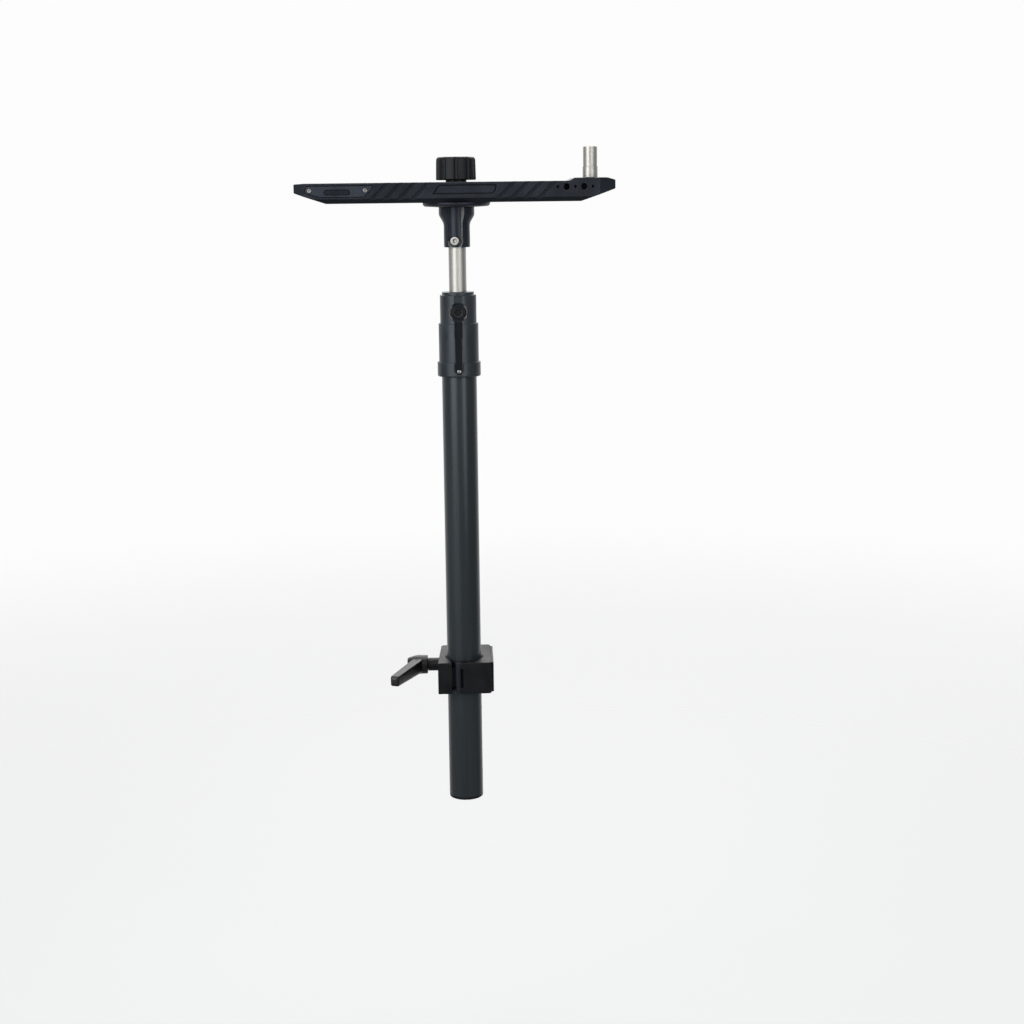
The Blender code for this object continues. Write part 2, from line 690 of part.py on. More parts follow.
def rounded_box_ring(centre, wide, tall, x_axis, corners=3):
    """A loop with round corners, square to the lever's arm; wide lies along x_axis and tall along Z."""
    radius = min(wide, tall) * 0.42
    points = []
    for k, (sx, sz) in enumerate(((1, 1), (-1, 1), (-1, -1), (1, -1))):
        for i in range(corners + 1):
            angle = math.pi / 2 * (k + i / corners)
            across = sx * (wide / 2 - radius) + radius * math.cos(angle)
            up = sz * (tall / 2 - radius) + radius * math.sin(angle)
            points.append(centre + x_axis * across + Vector((0, 0, up)))
    return points


def make_lever_handle(axis, parent):
    """A turned hub with a slanting arm that tapers to a rounded tip, bored for stud, spring and screw."""
    hub_r = HUB_D / 2
    end = HUB_STRAIGHT + HUB_DOME
    dome = [
        (HUB_END_D / 2 + (hub_r - HUB_END_D / 2) * math.cos(a), HUB_STRAIGHT + HUB_DOME * math.sin(a))
        for a in (math.pi / 2 * i / 4 for i in range(5))
    ]
    hub = turned([(0, 0), (HUB_FOOT_D / 2, 0), *dome, (0, end)])
    handle = piece("lever_handle", posed(hub, TO_LEFT, (HUB_X, 0, 0)), axis, parent, BLACK_STEEL)

    root = Vector((HUB_X - HUB_STRAIGHT * 0.75, 0, 0))
    tip = root + Vector((-LEVER_SLANT, -LEVER_REACH + LEVER_TIP_WIDE / 2, 0))
    along = (tip - root).normalized()
    across = along.cross(Vector((0, 0, 1)))
    rings = []
    start = hub_r * 0.35
    length = (tip - root).length
    for i in range(3):
        t = i / 2
        wide = LEVER_ROOT_WIDE + (LEVER_TIP_WIDE - LEVER_ROOT_WIDE) * t
        tall = LEVER_ROOT_TALL + (LEVER_TIP_TALL - LEVER_ROOT_TALL) * t
        rings.append(rounded_box_ring(root + along * (start + (length - start) * t), wide, tall, across))
    for angle in (math.pi / 2 * i / 4 for i in range(1, 4)):
        scale = math.cos(angle)
        centre = tip + along * (LEVER_TIP_WIDE / 2) * math.sin(angle)
        tall = LEVER_TIP_TALL * (0.4 + 0.6 * scale)
        rings.append(rounded_box_ring(centre, LEVER_TIP_WIDE * scale, tall, across))
    combine(handle, lofted(rings), "UNION")

    depth = SEAT + SPLINE_LENGTH + SEAT
    socket = cylinder(SPLINE_D / 2 + SLIP, -SEAT, depth, SPLINE_SIDES)
    hole = cylinder(LEVER_SCREW_SHANK_D / 2 + SLIP, depth - SEAT, depth + HUB_WEB + SEAT, 16)
    chamber = cylinder(SPRING_BORE_D / 2, depth + HUB_WEB, end + SEAT)
    cut(handle, *(posed(tool, TO_LEFT, (HUB_X, 0, 0)) for tool in (socket, hole, chamber)))


def make_spring(axis, parent, start_x, end_x):
    """A round coil between the hub's web and the retaining screw's head."""
    wire_r = SPRING_WIRE / 2
    radius = SPRING_D / 2 - wire_r
    low = start_x - wire_r
    high = end_x + wire_r
    count = SPRING_TURNS * 12
    points = []
    for i in range(count + 1):
        angle = math.tau * SPRING_TURNS * i / count
        points.append((low + (high - low) * i / count, radius * math.cos(angle), radius * math.sin(angle)))
    rings = []
    for i, point in enumerate(points):
        before, after = points[max(i - 1, 0)], points[min(i + 1, count)]
        along = (Vector(after) - Vector(before)).normalized()
        outward = Vector((0, point[1], point[2])).normalized()
        side = along.cross(outward).normalized()
        up = side.cross(along)
        rings.append([
            Vector(point) + wire_r * (math.cos(a) * up + math.sin(a) * side)
            for a in (math.tau * k / 6 for k in range(6))
        ])
    piece("lever_spring", lofted(rings), axis, parent, SPRING_STEEL)


def make_pole(parent):
    """The tube and the plug in its lower end."""
    outer, inner = TUBE_OD / 2, TUBE_OD / 2 - TUBE_WALL
    wall = [(inner, -TUBE_BELOW), (outer, -TUBE_BELOW), (outer, TUBE_ABOVE), (inner, TUBE_ABOVE)]
    tube = piece("pole_tube", turned(wall, ring=True), (POLE_X, 0, 0), parent, TUBE_BLACK)
    hole = cylinder(RIVET_D / 2 + SEAT, 0, TUBE_OD, 16)
    cut(tube, posed(hole, TO_FRONT, (0, 0, HEAD_FOOT_Z + RIVET_RISE)))

    foot = -TUBE_BELOW - SEAT - PLUG_RIM
    fit = inner - SEAT
    hollow = fit - PLUG_RIM
    edge = PLUG_RIM / 4
    plug = [
        (0, foot), (outer - edge, foot), (outer, foot + edge), (outer, foot + PLUG_RIM),
        (fit, foot + PLUG_RIM), (fit, foot + PLUG_DEPTH), (hollow, foot + PLUG_DEPTH),
        (hollow, foot + PLUG_DEPTH - PLUG_HOLLOW), (0, foot + PLUG_DEPTH - PLUG_HOLLOW),
    ]
    piece("tube_plug", turned(plug), (POLE_X, 0, 0), parent, PLASTIC)


def head_steps():
    """Foot height, top height and radius of the head's four steps, from the ring up."""
    return (
        (HEAD_FOOT_Z, MID_Z, HEAD_R + RING_STEP),
        (MID_Z, UPPER_Z, HEAD_R),
        (UPPER_Z, CAP_Z, UPPER_R),
        (CAP_Z, HEAD_TOP_Z, UPPER_R - CAP_STEP),
    )


def make_pole_head(parent):
    """The stepped casting that joins tube and spigot, with a keyhole channel down its front."""
    tube_bore = TUBE_OD / 2 + SEAT
    spigot_bore = SPIGOT_R + SLIP
    ring_r = HEAD_R + RING_STEP
    edge = RECEIVER_EDGE / 2
    profile = [
        (tube_bore, HEAD_FOOT_Z),
        (ring_r - RING_ROUND, HEAD_FOOT_Z),
        (ring_r, HEAD_FOOT_Z + RING_ROUND),
    ]
    for low, high, radius in head_steps():
        profile += [(radius, max(low, HEAD_FOOT_Z + RING_ROUND + edge)), (radius, high - edge)]
        profile.append((radius - edge, high))
    profile += [
        (spigot_bore, HEAD_TOP_Z),
        (spigot_bore, TUBE_ABOVE + SEAT),
        (tube_bore, TUBE_ABOVE + SEAT),
    ]
    head = piece("pole_head", turned(profile, ring=True), (POLE_X, 0, 0), parent, CAST_BLACK)

    screw_axis = (0, 0, HEAD_SCREW_Z)
    floor = UPPER_R - SPOT_FACE_DEPTH
    step_z = UPPER_Z - CHANNEL_STEP_DOWN
    foot_z = HEAD_FOOT_Z + RIVET_RISE
    outside = HEAD_R + 2 * RING_STEP
    tap_r = HEAD_SCREW_SHANK_D / 2 + THREAD_GAP
    seat = turned(
        [(0, SPIGOT_R / 2), (tap_r, SPIGOT_R / 2), (tap_r, floor), (SPOT_FACE_D / 2, floor),
         (SPOT_FACE_D / 2, outside), (0, outside)], SMALL_STEPS)
    cut(head, posed(seat, TO_FRONT, screw_axis))
    half = CHANNEL_WIDE / 2
    narrow = CHANNEL_NARROW / 2
    cut(
        head,
        block((-half, -outside, UPPER_Z), (half, -UPPER_R + CHANNEL_DEPTH, CAP_Z - edge)),
        block((-half, -outside, step_z), (half, -HEAD_R + CHANNEL_DEPTH, UPPER_Z + edge)),
        block((-narrow, -outside, foot_z), (narrow, -HEAD_R + CHANNEL_DEPTH, step_z + edge)),
        posed(cylinder(RIVET_D / 2 + SEAT, 0, outside, 16), TO_FRONT, (0, 0, foot_z)),
    )
    return head


def make_head_fasteners(pole_axis, screw_axis):
    """The black socket screw that grips the spigot, and the pin that holds the head on the tube."""
    floor = UPPER_R - SPOT_FACE_DEPTH + SEAT
    shapes = socket_screw(
        HEAD_SCREW_HEAD_D / 2, HEAD_SCREW_HEAD_H, HEAD_SCREW_SHANK_D / 2, floor - SPIGOT_R - SLIP,
        HEAD_SCREW_HEX, HEAD_SCREW_HEX_DEPTH)
    screw("head_screw", shapes, (POLE_X, -floor, HEAD_SCREW_Z), screw_axis, BLACK_STEEL, TO_FRONT)
    outer = HEAD_R - CHANNEL_DEPTH + RIVET_PROUD
    inner = TUBE_OD / 2 - TUBE_WALL + SEAT
    edge = RIVET_PROUD / 2
    radius = RIVET_D / 2
    profile = [(0, inner), (radius, inner), (radius, outer - edge), (radius - edge, outer), (0, outer)]
    at = (POLE_X, 0, HEAD_FOOT_Z + RIVET_RISE)
    piece("head_pin", posed(turned(profile, 16), TO_FRONT), at, pole_axis, STAINLESS)


def make_spigot(parent):
    """The bright pin between head and receiver."""
    foot = HEAD_TOP_Z - SPIGOT_IN_HEAD
    edge = SPIGOT_TIP_EDGE
    profile = [
        (0, foot), (SPIGOT_R - edge, foot), (SPIGOT_R, foot + edge),
        (SPIGOT_R, SPIGOT_TOP_Z - edge), (SPIGOT_R - edge, SPIGOT_TOP_Z), (0, SPIGOT_TOP_Z),
    ]
    piece("spigot", turned(profile), (POLE_X, 0, 0), parent, STAINLESS)


def receiver_screw_turn():
    """Points a shape made along Z out of the receiver's front, a little to the left."""
    return Matrix.Rotation(-RECEIVER_SCREW_TURN, 3, "Z") @ TO_FRONT


def make_receiver(parent):
    """The flanged socket on the spigot, with its round-ended recess for the screw."""
    bore = SPIGOT_R + SLIP
    stud_bore = STUD_BORE_R
    flange_r = RECEIVER_R + FLANGE_OUT
    edge = RECEIVER_EDGE
    stud_floor = RECEIVER_TOP_Z - STUD_IN_RECEIVER - SEAT
    profile = [
        (0, RECEIVER_Z + RECEIVER_BORE_DEPTH), (bore, RECEIVER_Z + RECEIVER_BORE_DEPTH),
        (bore, RECEIVER_Z), (RECEIVER_R - edge, RECEIVER_Z), (RECEIVER_R, RECEIVER_Z + edge),
        (RECEIVER_R, FLARE_Z), (RECEIVER_R + edge / 2, FLARE_Z + edge), (flange_r, FLANGE_Z),
        (flange_r, RECEIVER_TOP_Z - edge / 2), (flange_r - edge / 2, RECEIVER_TOP_Z),
        (stud_bore, RECEIVER_TOP_Z), (stud_bore, stud_floor), (0, stud_floor),
    ]
    body = piece("receiver", turned(profile), (POLE_X, 0, 0), parent, CAST_BLACK)
    turn = receiver_screw_turn()
    floor = RECEIVER_R - RECESS_DEPTH
    outside = flange_r * 2
    half = RECESS_WIDTH / 2
    rise = RECEIVER_TOP_Z - RECEIVER_SCREW_Z + edge
    slot = [*arc((0, 0), half, math.pi, math.tau, 12), (half, rise), (-half, rise)]
    screw_height = (0, 0, RECEIVER_SCREW_Z)
    cut(
        body,
        posed(prism(slot, floor, outside), turn, screw_height),
        posed(cylinder(RECEIVER_SCREW_SHANK_D / 2 + THREAD_GAP, SPIGOT_R / 2, outside, 16), turn, screw_height),
        merged(
            posed(cylinder(DISC_SCREW_SHANK_D / 2 + THREAD_GAP, RECEIVER_TOP_Z - DISC_SCREW_LENGTH,
                           RECEIVER_TOP_Z + edge, 16), shift=(x, y, 0))
            for x, y in disc_screw_places()
        ),
    )
    return body


def make_receiver_screw(parent):
    """The bright socket screw that bears on the spigot."""
    floor = RECEIVER_R - RECESS_DEPTH + SEAT
    tip = SPIGOT_R + SLIP
    shapes = socket_screw(
        RECEIVER_SCREW_HEAD_D / 2, RECEIVER_SCREW_HEAD_H, RECEIVER_SCREW_SHANK_D / 2, floor - tip,
        RECEIVER_SCREW_HEX, RECEIVER_SCREW_HEX_DEPTH)
    shapes = [posed(shape, shift=(0, 0, floor)) for shape in shapes]
    at = (POLE_X, 0, RECEIVER_SCREW_Z)
    screw("receiver_screw", shapes, at, parent, STAINLESS, receiver_screw_turn())


def disc_screw_places():
    """Places of the disc's screws round the pole's axis, with none behind the recess."""
    radius = DISC_SCREW_CIRCLE / 2
    turns = [math.pi / 2 + math.tau * i / DISC_SCREWS for i in range(DISC_SCREWS)]
    return [(radius * math.cos(a), radius * math.sin(a)) for a in turns]


def make_swivel_disc(parent):
    """The round seat that the arm turns on, its friction ring, its screws and the knob's stud."""
    rim_r = DISC_D / 2
    low, high = DISC_Z, DISC_Z + DISC_THICK
    bore = STUD_BORE_R
    groove_out = rim_r - RING_GROOVE_FROM_RIM
    groove_in = groove_out - RING_GROOVE_WIDTH
    groove_floor = high - RING_THICK - SEAT
    edge_drop = DISC_THICK - DISC_RIM
    bowl = [
        (rim_r - DISC_ROUND * (1 - math.sin(a)), high - DISC_RIM - edge_drop * 0.8 * math.cos(a))
        for a in (math.pi / 2 * i / 4 for i in range(5))
    ]
    flat_r = RECEIVER_R + FLANGE_OUT + DISC_RIM
    profile = [
        (bore, low), (flat_r, low), *bowl, (rim_r, high),
        (groove_out, high), (groove_out, groove_floor), (groove_in, groove_floor), (groove_in, high),
        (bore, high),
    ]
    disc = piece("swivel_disc", turned(profile, ring=True), (POLE_X, 0, 0), parent, ANODISED)
    head_r, shank_r = DISC_SCREW_HEAD_D / 2, DISC_SCREW_SHANK_D / 2
    cut(disc, merged(
        posed(countersink(head_r, DISC_SCREW_HEAD_H, shank_r, 2 * DISC_THICK), shift=(x, y, high))
        for x, y in disc_screw_places()
    ))
    for i, (x, y) in enumerate(disc_screw_places(), 1):
        shapes = countersunk_screw(head_r, DISC_SCREW_HEAD_H, shank_r, DISC_SCREW_LENGTH, DISC_SCREW_HEX)
        screw(f"disc_screw_{i}", shapes, (POLE_X + x, y, high - SEAT), parent, BLACK_STEEL)

    inner, outer = groove_in + SEAT, groove_out - SEAT
    top = high
    band = [(inner, top - RING_THICK), (outer, top - RING_THICK), (outer, top), (inner, top)]
    piece("friction_ring", turned(band, ring=True), (POLE_X, 0, 0), parent, NYLON)

    stud_low = RECEIVER_TOP_Z - STUD_IN_RECEIVER
    stud_high = KNOB_Z + STUD_IN_KNOB
    radius, edge = STUD_D / 2, STUD_EDGE
    bar = [
        (0, stud_low), (radius - edge, stud_low), (radius, stud_low + edge),
        (radius, stud_high - edge), (radius - edge, stud_high), (0, stud_high),
    ]
    piece("arm_stud", turned(bar, SMALL_STEPS), (POLE_X, 0, 0), parent, STAINLESS)


def arm_plan():
    """Plan of the arm: chamfered corners, and a round-bottomed fork open to the left."""
    depth = ARM_DEPTH / 2
    half = FORK_WIDTH / 2
    fork_centre = -ARM_LEFT + FORK_REACH - half
    mouth = half + FORK_LEAD_IN
    tine_end = max(depth - CORNER_DEPTH, mouth + SEAT)
    right_end = depth - CORNER_DEPTH
    return [
        (-ARM_LEFT, -tine_end), (-ARM_LEFT + LEFT_CORNER, -depth),
        (ARM_RIGHT - RIGHT_CORNER, -depth), (ARM_RIGHT, -right_end),
        (ARM_RIGHT, right_end), (ARM_RIGHT - RIGHT_CORNER, depth),
        (-ARM_LEFT + LEFT_CORNER, depth), (-ARM_LEFT, tine_end),
        (-ARM_LEFT, mouth), (-ARM_LEFT + FORK_LEAD_IN, half),
        *arc((fork_centre, 0), half, math.pi / 2, -math.pi / 2, 16),
        (-ARM_LEFT + FORK_LEAD_IN, -half), (-ARM_LEFT, -mouth),
    ]


def arm_side():
    """The arm seen from the front, as (x, height): ramps under both ends and the pad on the right."""
    top, pad = ARM_THICK, ARM_THICK + PAD_HEIGHT
    left_top = top - LEFT_END_DROP
    right_top = pad - PAD_END_DROP
    return [
        (-ARM_LEFT, left_top - END_FACE_HEIGHT), (-ARM_LEFT + LEFT_RAMP_LENGTH, 0),
        (ARM_RIGHT - RIGHT_RAMP_LENGTH, 0), (ARM_RIGHT, right_top - END_FACE_HEIGHT),
        (ARM_RIGHT, right_top), (PAD_FLAT_END, pad), (PAD_FLAT_START, pad),
        (PAD_FLAT_START - PAD_SLOPE, top), (-ARM_LEFT + LEFT_CORNER, top), (-ARM_LEFT, left_top),
    ]


def arm_section():
    """The arm seen from its end, as (depth, height), with both lower edges cut back."""
    half, low, high = ARM_DEPTH / 2, ARM_LOWER_EDGE, ARM_THICK + PAD_HEIGHT
    return [(-half, high), (-half, low), (-half + low, 0), (half - low, 0), (half, low), (half, high)]


def from_front(outline, near, far):
    """Stretches an outline of (x, height) points between two Y positions."""
    return posed(prism(outline, -far, -near), TO_FRONT)


def side_tools(side):
    """Cutters for one long face of the arm: diagonal grooves, long panel and accessory holes."""
    face = ARM_DEPTH / 2
    near, far = (-face - SEAT, -face + GROOVE_DEPTH) if side < 0 else (face - GROOVE_DEPTH, face + SEAT)
    tools = []
    foot = ARM_LOWER_EDGE
    starts = [-LEFT_GROOVE_START - GROOVE_PITCH * i for i in range(GROOVES_A_SIDE)]
    starts += [RIGHT_GROOVE_START + GROOVE_PITCH * i for i in range(GROOVES_A_SIDE)]
    for x in starts:
        groove = [
            (x - GROOVE_LEAN, foot), (x - GROOVE_LEAN + GROOVE_WIDTH, foot),
            (x + GROOVE_WIDTH, ARM_THICK + SEAT), (x, ARM_THICK + SEAT),
        ]
        tools.append(from_front(groove, near, far))
    high = ARM_THICK - PANEL_TOP_EDGE
    low = high - PANEL_HEIGHT
    panel = [
        (-PANEL_LEFT - PANEL_LEFT_SLANT, low), (PANEL_RIGHT - PANEL_RIGHT_SLANT, low),
        (PANEL_RIGHT, high), (-PANEL_LEFT, high),
    ]
    tools.append(from_front(panel, near, far))
    row_z = ARM_THICK - ROW_DROP
    for i in range(ROW_HOLES):
        tapped = i % 2 == 1
        radius = (TAPPED_HOLE_D if tapped else PIN_HOLE_D) / 2
        depth = TAPPED_HOLE_DEPTH if tapped else PIN_HOLE_DEPTH
        hole = cylinder(radius, face - depth, face + SEAT, SMALL_STEPS if tapped else 12)
        if side > 0:
            hole = posed(hole, Matrix.Rotation(math.pi, 3, "X"))
        tools.append(posed(hole, TO_FRONT, (ROW_START + ROW_PITCH * i, 0, row_z)))
    return merged(tools)


def badge_outline(grow):
    """The badge plate seen from the front, as (x, height), grown all round for its pocket."""
    top = ARM_THICK - BADGE_TOP_EDGE + grow
    foot = ARM_THICK - BADGE_TOP_EDGE - BADGE_HEIGHT - grow
    shoulder = ARM_THICK - BADGE_TOP_EDGE - BADGE_SHOULDER
    left, right = -BADGE_LEFT - grow, -BADGE_RIGHT + grow
    return [
        (left, shoulder), (left + BADGE_LEFT_FOOT, foot), (right - BADGE_RIGHT_FOOT, foot),
        (right, shoulder + BADGE_SHOULDER * 0.6), (right, top), (left + BADGE_SHOULDER * 0.4, top),
    ]


def badge_screw_places():
    """Names and (x, height) of the badge's two screws."""
    height = ARM_THICK - BADGE_TOP_EDGE - BADGE_SCREW_DROP
    return (("left", -BADGE_SCREW_LEFT, height), ("right", -BADGE_SCREW_RIGHT, height))


def make_docking_arm(parent):
    """The milled bar: front view, plan and end view intersected, then every pocket, groove and hole."""
    front = ARM_DEPTH / 2
    at = (POLE_X, 0, ARM_Z)
    arm = piece("docking_arm", from_front(arm_side(), -front, front), at, parent, ANODISED)
    combine(arm, prism(arm_plan(), -SEAT, ARM_THICK + PAD_HEIGHT + SEAT), "INTERSECT")
    reach = max(ARM_LEFT, ARM_RIGHT) + SEAT
    along = Matrix(((0, 0, 1), (1, 0, 0), (0, 1, 0)))
    combine(arm, posed(prism(arm_section(), -reach, reach), along), "INTERSECT")
    pocket_floor = -front + BADGE_INSET + BADGE_THICK + SEAT
    shank_r = BADGE_SCREW_SHANK_D / 2 + THREAD_GAP
    screw_floor = front - BADGE_SCREW_LENGTH - BADGE_SCREW_SINK - SEAT
    tools = [
        posed(cylinder(shank_r, screw_floor, front, 12), TO_FRONT, (x, 0, z))
        for _, x, z in badge_screw_places()
    ]
    cut(
        arm,
        cylinder(STUD_BORE_R, -SEAT, ARM_THICK + SEAT),
        side_tools(-1),
        side_tools(1),
        from_front(badge_outline(SEAT), -front - SEAT, pocket_floor),
        merged(tools),
        posed(cylinder(BALANCE_SHANK_D / 2 + THREAD_GAP, ARM_THICK - BALANCE_SHANK_LENGTH,
                       ARM_THICK + 2 * PAD_HEIGHT), shift=(BALANCE_AT, 0, 0)),
    )
    return arm


def make_badge(parent):
    """A bare plate let into the arm's front face, with a shallow blank slot and two screws."""
    front = ARM_DEPTH / 2 - BADGE_INSET
    at = (POLE_X, 0, ARM_Z)
    outline = badge_outline(0)
    plate = piece("badge_plate", from_front(outline, -front, -front + BADGE_THICK), at, parent, ANODISED)
    height = ARM_THICK - BADGE_TOP_EDGE - BADGE_HEIGHT * 0.6
    radius = BADGE_SLOT_HEIGHT / 2
    left, right = -BADGE_SLOT_LEFT + radius, -BADGE_SLOT_RIGHT - radius
    slot = arc((left, height), radius, math.pi / 2, math.pi * 1.5, 8)
    slot += arc((right, height), radius, -math.pi / 2, math.pi / 2, 8)
    tools = [from_front(slot, -front - SEAT, -front + BADGE_SLOT_DEPTH)]
    for _, x, z in badge_screw_places():
        head_r = BADGE_SCREW_HEAD_D / 2 + SEAT
        shank_r = BADGE_SCREW_SHANK_D / 2 + SEAT
        sunk = front - BADGE_SCREW_SINK
        seat = turned([(0, front - BADGE_THICK - SEAT), (shank_r, front - BADGE_THICK - SEAT), (shank_r, sunk),
                       (head_r, sunk), (head_r, front + SEAT), (0, front + SEAT)], SMALL_STEPS)
        tools.append(posed(seat, TO_FRONT, (x, 0, z)))
    cut(plate, merged(tools))
    for name, x, z in badge_screw_places():
        shapes = socket_screw(
            BADGE_SCREW_HEAD_D / 2, BADGE_SCREW_HEAD_H, BADGE_SCREW_SHANK_D / 2, BADGE_SCREW_LENGTH,
            BADGE_SCREW_HEX, BADGE_SCREW_HEAD_H * 0.6)
        place = (POLE_X + x, -(front - BADGE_SCREW_SINK + SEAT), ARM_Z + z)
        screw(f"badge_screw_{name}", shapes, place, parent, STAINLESS, TO_FRONT)


def make_balance_stud(parent):
    """The bright pin on the pad, screwed into the arm."""
    radius = BALANCE_D / 2
    foot_r = radius + BALANCE_FOOT_STEP
    edge = BALANCE_EDGE
    shank_r = BALANCE_SHANK_D / 2
    profile = [
        (0, -BALANCE_SHANK_LENGTH), (shank_r - edge, -BALANCE_SHANK_LENGTH),
        (shank_r, -BALANCE_SHANK_LENGTH + edge), (shank_r, 0), (foot_r, 0),
        (foot_r, BALANCE_FOOT_HEIGHT - BALANCE_FOOT_STEP), (radius, BALANCE_FOOT_HEIGHT),
        (radius, BALANCE_HEIGHT - edge), (radius - edge, BALANCE_HEIGHT), (0, BALANCE_HEIGHT),
    ]
    at = (POLE_X + BALANCE_AT, 0, PAD_Z + SEAT)
    piece("balance_stud", turned(profile, 36), at, parent, STAINLESS)


def knob_ring(radius, depth, height):
    """A fluted loop; depth falls away where the knob is rounded."""
    count = KNOB_FLUTES * POINTS_A_FLUTE
    points = []
    for i in range(count):
        phase = (i / POINTS_A_FLUTE) % 1
        away = abs(phase - 0.5) * 2
        dip = max(0.0, 1 - ((1 - away) / KNOB_FLUTE_SHARE) ** 2)
        angle = math.tau * i / count - math.pi / 2
        reach = radius - depth * math.sqrt(dip)
        points.append((reach * math.cos(angle), reach * math.sin(angle), height))
    return points


def make_knob(washer_axis, knob_axis):
    """The fluted knob, the threaded insert moulded into it, and the washer under it."""
    radius = KNOB_D / 2
    foot, top = KNOB_FOOT_ROUND, KNOB_TOP_ROUND
    quarter = [math.pi / 2 * i / 2 for i in range(3)]
    rings = [
        knob_ring(radius - foot * (1 - math.sin(a)), KNOB_FLUTE_DEPTH * math.sin(a), foot * (1 - math.cos(a)))
        for a in quarter
    ]
    upper = radius - KNOB_TOP_TAPER
    rings += [
        knob_ring(upper - top * (1 - math.cos(a)), KNOB_FLUTE_DEPTH * math.cos(a),
                  KNOB_HEIGHT - top * (1 - math.sin(a)))
        for a in quarter
    ]
    knob = piece("clamp_knob", lofted(rings), (POLE_X, 0, KNOB_Z), knob_axis, PLASTIC)
    insert_r = STUD_BORE_R + INSERT_WALL
    cut(knob, cylinder(insert_r + SEAT, -SEAT, INSERT_LENGTH + SEAT))
    sleeve = [(STUD_BORE_R, 0), (insert_r, 0), (insert_r, INSERT_LENGTH), (STUD_BORE_R, INSERT_LENGTH)]
    piece("knob_insert", turned(sleeve, SMALL_STEPS, ring=True), (POLE_X, 0, KNOB_Z), knob_axis, BRASS)
    disc = [(STUD_BORE_R, 0), (WASHER_D / 2, 0), (WASHER_D / 2, WASHER_THICK), (STUD_BORE_R, WASHER_THICK)]
    piece("knob_washer", turned(disc, 36, ring=True), (POLE_X, 0, WASHER_Z), washer_axis, BLACK_STEEL)


def build():
    """Makes every piece under the empties that stand on the joints' axes."""
    clear_scene()
    fixed = pivot("cart_mount", (0, 0, 0))
    hinge = pivot("jaw_hinge", (POLE_X + HINGE_X, HINGE_Y, 0), fixed)
    make_clamp_body(fixed)
    make_back_plate(fixed)
    make_hinge_pin(fixed)
    slit_turn = math.acos(-(abs(HINGE_X) - SLIT) / BORE_R)
    make_liner("body_liner", fixed, -slit_turn + 0.16, slit_turn - 0.16, (POLE_X, 0, 0))
    jaw_start = math.acos((HINGE_X - SLIT) / BORE_R) + 0.06
    jaw_end = math.tau - math.acos(-MOUTH_LEFT / BORE_R)
    make_clamp_jaw(hinge)
    make_liner("jaw_liner", hinge, jaw_start, jaw_end, (POLE_X + HINGE_X, HINGE_Y, 0))

    lever_travel = pivot("lever_travel", (POLE_X, LEVER_Y, 0), fixed)
    lever_turn = pivot("lever_turn", (POLE_X, LEVER_Y, 0), lever_travel)
    lever_lift = pivot("lever_lift", (POLE_X, LEVER_Y, 0), lever_turn)
    make_lever(lever_travel, lever_turn, lever_lift)

    pole_slide = pivot("pole_slide", (POLE_X, 0, 0), fixed)
    head_screw_turn = pivot("head_screw_turn", (POLE_X, 0, HEAD_SCREW_Z), pole_slide)
    make_pole(pole_slide)
    make_pole_head(pole_slide)
    make_head_fasteners(pole_slide, head_screw_turn)

    spigot_slide = pivot("spigot_slide", (POLE_X, 0, 0), pole_slide)
    make_spigot(spigot_slide)
    receiver_turn = pivot("receiver_turn", (POLE_X, 0, 0), spigot_slide)
    screw_turn = pivot("receiver_screw_turn", (POLE_X, 0, RECEIVER_SCREW_Z), receiver_turn)
    make_receiver(receiver_turn)
    make_receiver_screw(screw_turn)
    make_swivel_disc(receiver_turn)

    arm_swivel = pivot("arm_swivel", (POLE_X, 0, ARM_Z), receiver_turn)
    make_docking_arm(arm_swivel)
    make_badge(arm_swivel)
    make_balance_stud(arm_swivel)

    knob_rise = pivot("knob_rise", (POLE_X, 0, KNOB_Z), receiver_turn)
    knob_turn = pivot("knob_turn", (POLE_X, 0, KNOB_Z), knob_rise)
    make_knob(knob_rise, knob_turn)
    bpy.context.view_layer.update()


build()
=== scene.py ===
# %% [markdown]
# # A docking stand for a camera stabilizer
# A dark pole stands in a hinged clamp, and a bright pin in its head carries a swivelling bar on
# which a stabilizer is parked. The engineering model is loaded first as a fixed frame. Each visible
# piece is then made again as a finer surface in the same place, and follows the body that the frame
# gives it, so that the joints still work.

# %% The frame
import json
import math

import bmesh
import bpy
import numpy as np
from mathutils import Matrix, Vector


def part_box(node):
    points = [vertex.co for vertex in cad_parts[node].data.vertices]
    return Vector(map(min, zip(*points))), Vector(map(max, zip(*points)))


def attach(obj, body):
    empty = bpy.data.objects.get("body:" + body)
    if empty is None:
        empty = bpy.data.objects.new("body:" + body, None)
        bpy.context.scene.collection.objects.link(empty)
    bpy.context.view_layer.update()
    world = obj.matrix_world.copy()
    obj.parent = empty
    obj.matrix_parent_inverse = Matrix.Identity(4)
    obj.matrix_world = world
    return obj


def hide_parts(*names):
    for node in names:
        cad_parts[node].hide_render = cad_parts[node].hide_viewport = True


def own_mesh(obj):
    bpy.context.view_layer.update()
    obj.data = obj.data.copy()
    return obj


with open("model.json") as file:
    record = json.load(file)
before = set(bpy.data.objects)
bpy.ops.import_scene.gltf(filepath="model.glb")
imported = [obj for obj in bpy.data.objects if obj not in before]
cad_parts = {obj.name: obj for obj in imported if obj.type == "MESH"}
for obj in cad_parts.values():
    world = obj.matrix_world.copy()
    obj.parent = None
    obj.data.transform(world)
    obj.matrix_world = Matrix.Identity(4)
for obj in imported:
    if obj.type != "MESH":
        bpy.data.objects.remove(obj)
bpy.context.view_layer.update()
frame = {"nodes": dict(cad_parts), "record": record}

behaviour = frame["record"]["behaviour"]
body_of_node = {node: body for body, nodes in behaviour["bodies"].items() for node in nodes}

